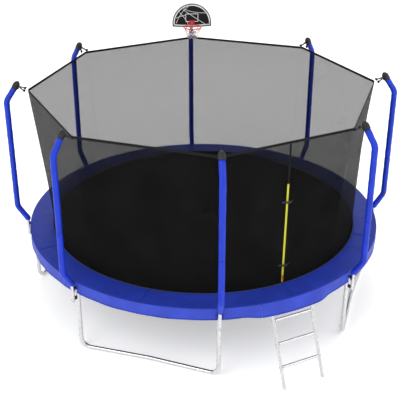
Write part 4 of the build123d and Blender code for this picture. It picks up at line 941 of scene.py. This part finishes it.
def octagon_path(apothem, rounding, height):
    """Closed path with rounded corners at the posts, with its outward directions."""
    points, outs = [], []
    centre_radius = (apothem - rounding) / cos(HALF_STEP)
    for post in all_posts:
        centre = polar(centre_radius, post, height)
        for k in range(7):
            outs.append(polar(1, post - POST_STEP / 2 + POST_STEP * k / 6, 0))
            points.append(centre + outs[-1] * rounding)
        outward = polar(1, post + POST_STEP / 2, 0)
        last = points[-1]
        goal = polar(centre_radius, post + POST_STEP, height) + outward * rounding
        for k in range(1, 8):
            points.append(last.lerp(goal, k / 8))
            outs.append(outward)
    return points, outs


def make_net_edges():
    """Thick webbing round the net's top, and the thin hem at its foot."""
    band_width, band_thick = band_high[2] - band_low[2], 0.0042
    points, outs = octagon_path(BAND_APOTHEM, BAND_ROUNDING, BAND_Z)
    band = Shape()
    band.ribbon(points, [UP] * len(points), outs, band_width, band_thick, closed=True)
    for edge in (-0.010, 0.010):
        line = [p + UP * edge + o * 0.0026 for p, o in zip(points, outs)]
        band.tube(line, 0.0006, 4, closed=True)
    top = band.piece("net_top_band", WEBBING)
    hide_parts("net_top_webbing")

    hem_width, hem_thick = hem_high[2] - hem_low[2], 0.0018
    steps = 180
    points = circle(hem_high[0] - 0.001, (hem_low[2] + hem_high[2]) / 2, steps)
    hem = Shape()
    hem.ribbon(points, [UP] * steps, circle(1, 0, steps), hem_width, hem_thick, closed=True)
    lower = hem.piece("net_foot_hem", WEBBING)
    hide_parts("net_hem")


def make_corner_straps():
    """Pairs of straps from each cap's lug, or the hoop post, to the net's corner."""
    straps = Shape()
    corner = (STRAP_APOTHEM / cos(HALF_STEP), BAND_Z)
    cuts = 8
    thick = 0.007
    knot_radius, knot_half = 0.013, 0.011
    for index, post in enumerate(all_posts):
        on_hoop = index == HOOP_POST
        start = tip_point(HOOP_STRAP_AT if on_hoop else LUG_AT)
        run = Vector((corner[0] - start[0], corner[1] - start[1]))
        along = run.normalized()
        first = HOOP_STRAP_REACH if on_hoop else LUG_REACH - 0.004
        outward, side = polar(1, post, 0), polar(1, post + 90, 0)
        direction = outward * along.x + UP * along.y
        normal = side.cross(direction)
        foot = outward * start[0] + UP * start[1]
        for hand in (-1, 1):
            line, widths = [], []
            for k in range(cuts + 1):
                share = k / cuts
                lateral = hand * (0.020 + 0.033 * share)
                reach = first + (run.length - 0.0055 - first) * share
                reach -= 0.017 * share * share
                sag = -0.003 * sin(pi * share)
                line.append(foot + direction * reach + side * lateral + UP * sag)
                widths.append(0.026 - 0.006 * sin(pi * share))
            straps.ribbon(line, [side] * len(line), [normal] * len(line), widths, thick)
            knot = [line[6] + normal * rise for rise in (-knot_half, 0, knot_half)]
            straps.tube(knot, knot_radius, 8)
            end = line[-1]
            wrap = [end, end - direction * 0.004 + UP * 0.013]
            wrap.append(end + direction * 0.006 + UP * 0.014)
            straps.ribbon(wrap, [side] * 3, [direction] * 3, 0.02, 0.0015)
    ties = straps.piece("net_corner_straps", WEBBING)
    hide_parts("net_straps")


# ---------------------------------------------------------------- net door
def door_frame(height, outward=0.0):
    """Point on the zip's line at a height, with its up and outward directions."""
    slope = (DOOR_HEAD - DOOR_FOOT) / (NET_TOP - NET_BOTTOM)
    run = hypot(slope, 1)
    up = polar(slope / run, ZIP_AZIMUTH, 1 / run)
    out = polar(1 / run, ZIP_AZIMUTH, -slope / run)
    base = polar(DOOR_FOOT + slope * (height - NET_BOTTOM), ZIP_AZIMUTH, height)
    return base + out * outward, up, out


def zip_length(name, low, high, material):
    """Tape with two edge beads and a row of coil teeth."""
    side = polar(1, ZIP_AZIMUTH + 90, 0)
    tape = Shape()
    steps = 24
    thick = 0.0011
    line = [door_frame(low + (high - low) * k / steps, thick) for k in range(steps + 1)]
    points = [entry[0] for entry in line]
    outs = [entry[2] for entry in line]
    tape.ribbon(points, [side] * (steps + 1), outs, TAPE_WIDTH, thick)
    for edge in (-0.009, 0.009):
        tape.tube([p + side * edge + o * 0.0007 for p, o in zip(points, outs)], 0.0004, 4)
    piece = tape.piece(name, material)

    teeth = Shape()
    tooth = (0.0048, 0.0021, 0.0018)
    for k in range(int((high - low) / TEETH_PITCH)):
        point, up, out = door_frame(low + TEETH_PITCH * (k + 0.5), 0.0028)
        teeth.block(point, (side, up, out), tooth)
    coil = teeth.piece(f"{name}_teeth", material, smooth=False)
    return piece


def make_door():
    """Zip and the seam above it, and the straps that hold the buckles."""
    low, high = tape_low[2] + 0.0002, tape_high[2]
    yellow = zip_length("door_zip_tape", low, high, YELLOW)
    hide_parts("zip_tape")
    dark = zip_length("door_seam_tape", high, NET_TOP, WEBBING)
    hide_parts("net_seam_tape")

    side = polar(1, ZIP_AZIMUTH + 90, 0)
    tabs = Shape()
    start, foot, end = 0.034, 0.056, 0.080
    width, thick = 0.021, 0.0018
    for height in BUCKLE_HEIGHTS:
        base, up, out = door_frame(height)
        line = [
            base + side * start + out * 0.0215,
            base + side * (start + 0.008) + out * 0.016,
            base + side * (foot - 0.004) + out * 0.004,
            base + side * foot + out * 0.0016,
            base + side * end + out * 0.0013,
        ]
        normals = [up.cross(along) * -1 for along in directions(line)]
        tabs.ribbon(line, [up] * len(line), normals, width, thick)
    piece = tabs.piece("buckle_tab_straps", WEBBING)
    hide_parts("buckle_socket_tabs")


# ---------------------------------------------------------------- basketball hoop
def board_outline(inset):
    """Board outline as (across, up) points, inset from its edge."""
    count = 36
    half = board_high[0] - inset
    bottom = board_low[2]
    shoulder = board_high[2] - board_high[0]
    points = []
    for k in range(count + 1):
        turn = pi * k / count
        points.append((half * cos(turn), shoulder + half * sin(turn)))
    for k in range(9):
        x = -half + 2 * half * k / 8
        bow = 0.012 * (x / half) ** 2
        points.append((x, bottom + inset + bow))
    return points


def print_strip(shape, points, width, face, closed=False):
    """Flat printed line on the board's face."""
    count = len(points)
    left, right = [], []
    for i, (x, z) in enumerate(points):
        ahead = points[(i + 1) % count] if closed or i < count - 1 else points[i]
        behind = points[i - 1] if closed or i > 0 else points[i]
        along = Vector((ahead[0] - behind[0], ahead[1] - behind[1])).normalized()
        off = Vector((-along.y, along.x)) * width / 2
        left.append(Vector((x + off.x, face, z + off.y)))
        right.append(Vector((x - off.x, face, z - off.y)))
    thick = Vector((0, 0.0006, 0))
    edges = [left, right, [v + thick for v in right], [v + thick for v in left]]

    def place(i, j):
        return edges[j][i]

    shape.add(*grid(count, len(edges), place, close_rows=closed, close_columns=True))


def make_board_print():
    """White border, target square and curved seams, printed on the board."""
    face = board_low[1] - 0.0008
    border_inset, border_width = 0.016, 0.015
    square_width, seam_width = 0.008, 0.006
    ink = Shape()
    print_strip(ink, board_outline(border_inset), border_width, face, closed=True)
    low, high = board_low[2] + 0.07, board_low[2] + 0.175
    half = 0.084
    square = [(-half, low), (-half, high), (half, high), (half, low), (-half, low)]
    for a, b in zip(square, square[1:]):
        print_strip(ink, [a, b], square_width, face)
    seams = [
        ((-0.215, 0.05), (-0.16, 0.2), (-0.04, 0.285)),
        ((-0.17, 0.2), (-0.09, 0.12), (-0.045, 0.02)),
        ((-0.12, 0.235), (0.03, 0.13), (0.185, 0.03)),
        ((-0.11, 0.25), (-0.02, 0.19), (0.2, 0.185)),
        ((-0.22, 0.12), (-0.15, 0.15), (-0.085, 0.16)),
    ]
    for start, middle, end in seams:
        arc = []
        for k in range(13):
            t = k / 12
            near, mid, far = (1 - t) ** 2, 2 * t * (1 - t), t * t
            x = near * start[0] + mid * middle[0] + far * end[0]
            z = near * start[1] + mid * middle[1] + far * end[1]
            arc.append((x, board_low[2] + z))
        print_strip(ink, arc, seam_width, face)
    piece = ink.piece("board_printed_lines", PRINT, smooth=False)


def make_hoop_net():
    """Knotted net of crossing cords, hung from the rim by a loop at each cord."""
    net = Shape()
    rows, fine = 6, 4
    centre_y = (hoop_net_low[1] + hoop_net_high[1]) / 2
    head = (hoop_net_high[0] - hoop_net_low[0]) / 2 - 0.002
    foot = 0.0765
    knot_radius, knot_half = 0.0036, 0.003
    loop_radius = 0.0074
    top, low = hoop_net_high[2], hoop_net_low[2]

    def at(share, turns):
        """Point on the net's funnel, a share of the way down and some turns round."""
        radius = head + (foot - head) * share ** 0.8
        angle = 2 * pi * turns
        height = top + (low - top) * share
        return Vector((radius * cos(angle), centre_y + radius * sin(angle), height))

    for index in range(CORDS):
        for hand in (-1, 1):
            shares = [k / (rows * fine) for k in range(rows * fine + 1)]
            line = [at(share, (index + hand * share * rows / 2) / CORDS) for share in shares]
            net.tube(line, CORD_RADIUS, 5)
        for row in range(1, rows + 1):
            knot = at(row / rows, (index + (row % 2) / 2) / CORDS)
            knot.z = min(knot.z + 0.002, top)
            bead = [knot + UP * rise for rise in (knot_half, 0, -knot_half)]
            net.tube(bead, knot_radius, 6)
    piece = net.piece("hoop_cord_net", CORD)
    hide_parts("hoop_net")

    loops = Shape()
    steps = 12
    for index in range(CORDS):
        angle = 2 * pi * index / CORDS
        spoke = Vector((cos(angle), sin(angle), 0))
        middle = spoke * RIM_RADIUS + Vector((0, centre_y, top + 0.0053))
        ring = []
        for k in range(steps):
            turn = 2 * pi * k / steps
            ring.append(middle + (spoke * cos(turn) + UP * sin(turn)) * loop_radius)
        loops.tube(ring, CORD_RADIUS, 5, closed=True)
    hung = loops.piece("hoop_net_loops", CORD)


set_stage()
paint_cad_nodes()
make_pad()
make_skirt()
make_pad_trim()
make_sleeves()
make_mat()
make_mat_tabs()
make_springs()
make_net()
make_net_edges()
make_corner_straps()
make_door()
make_board_print()
make_hoop_net()
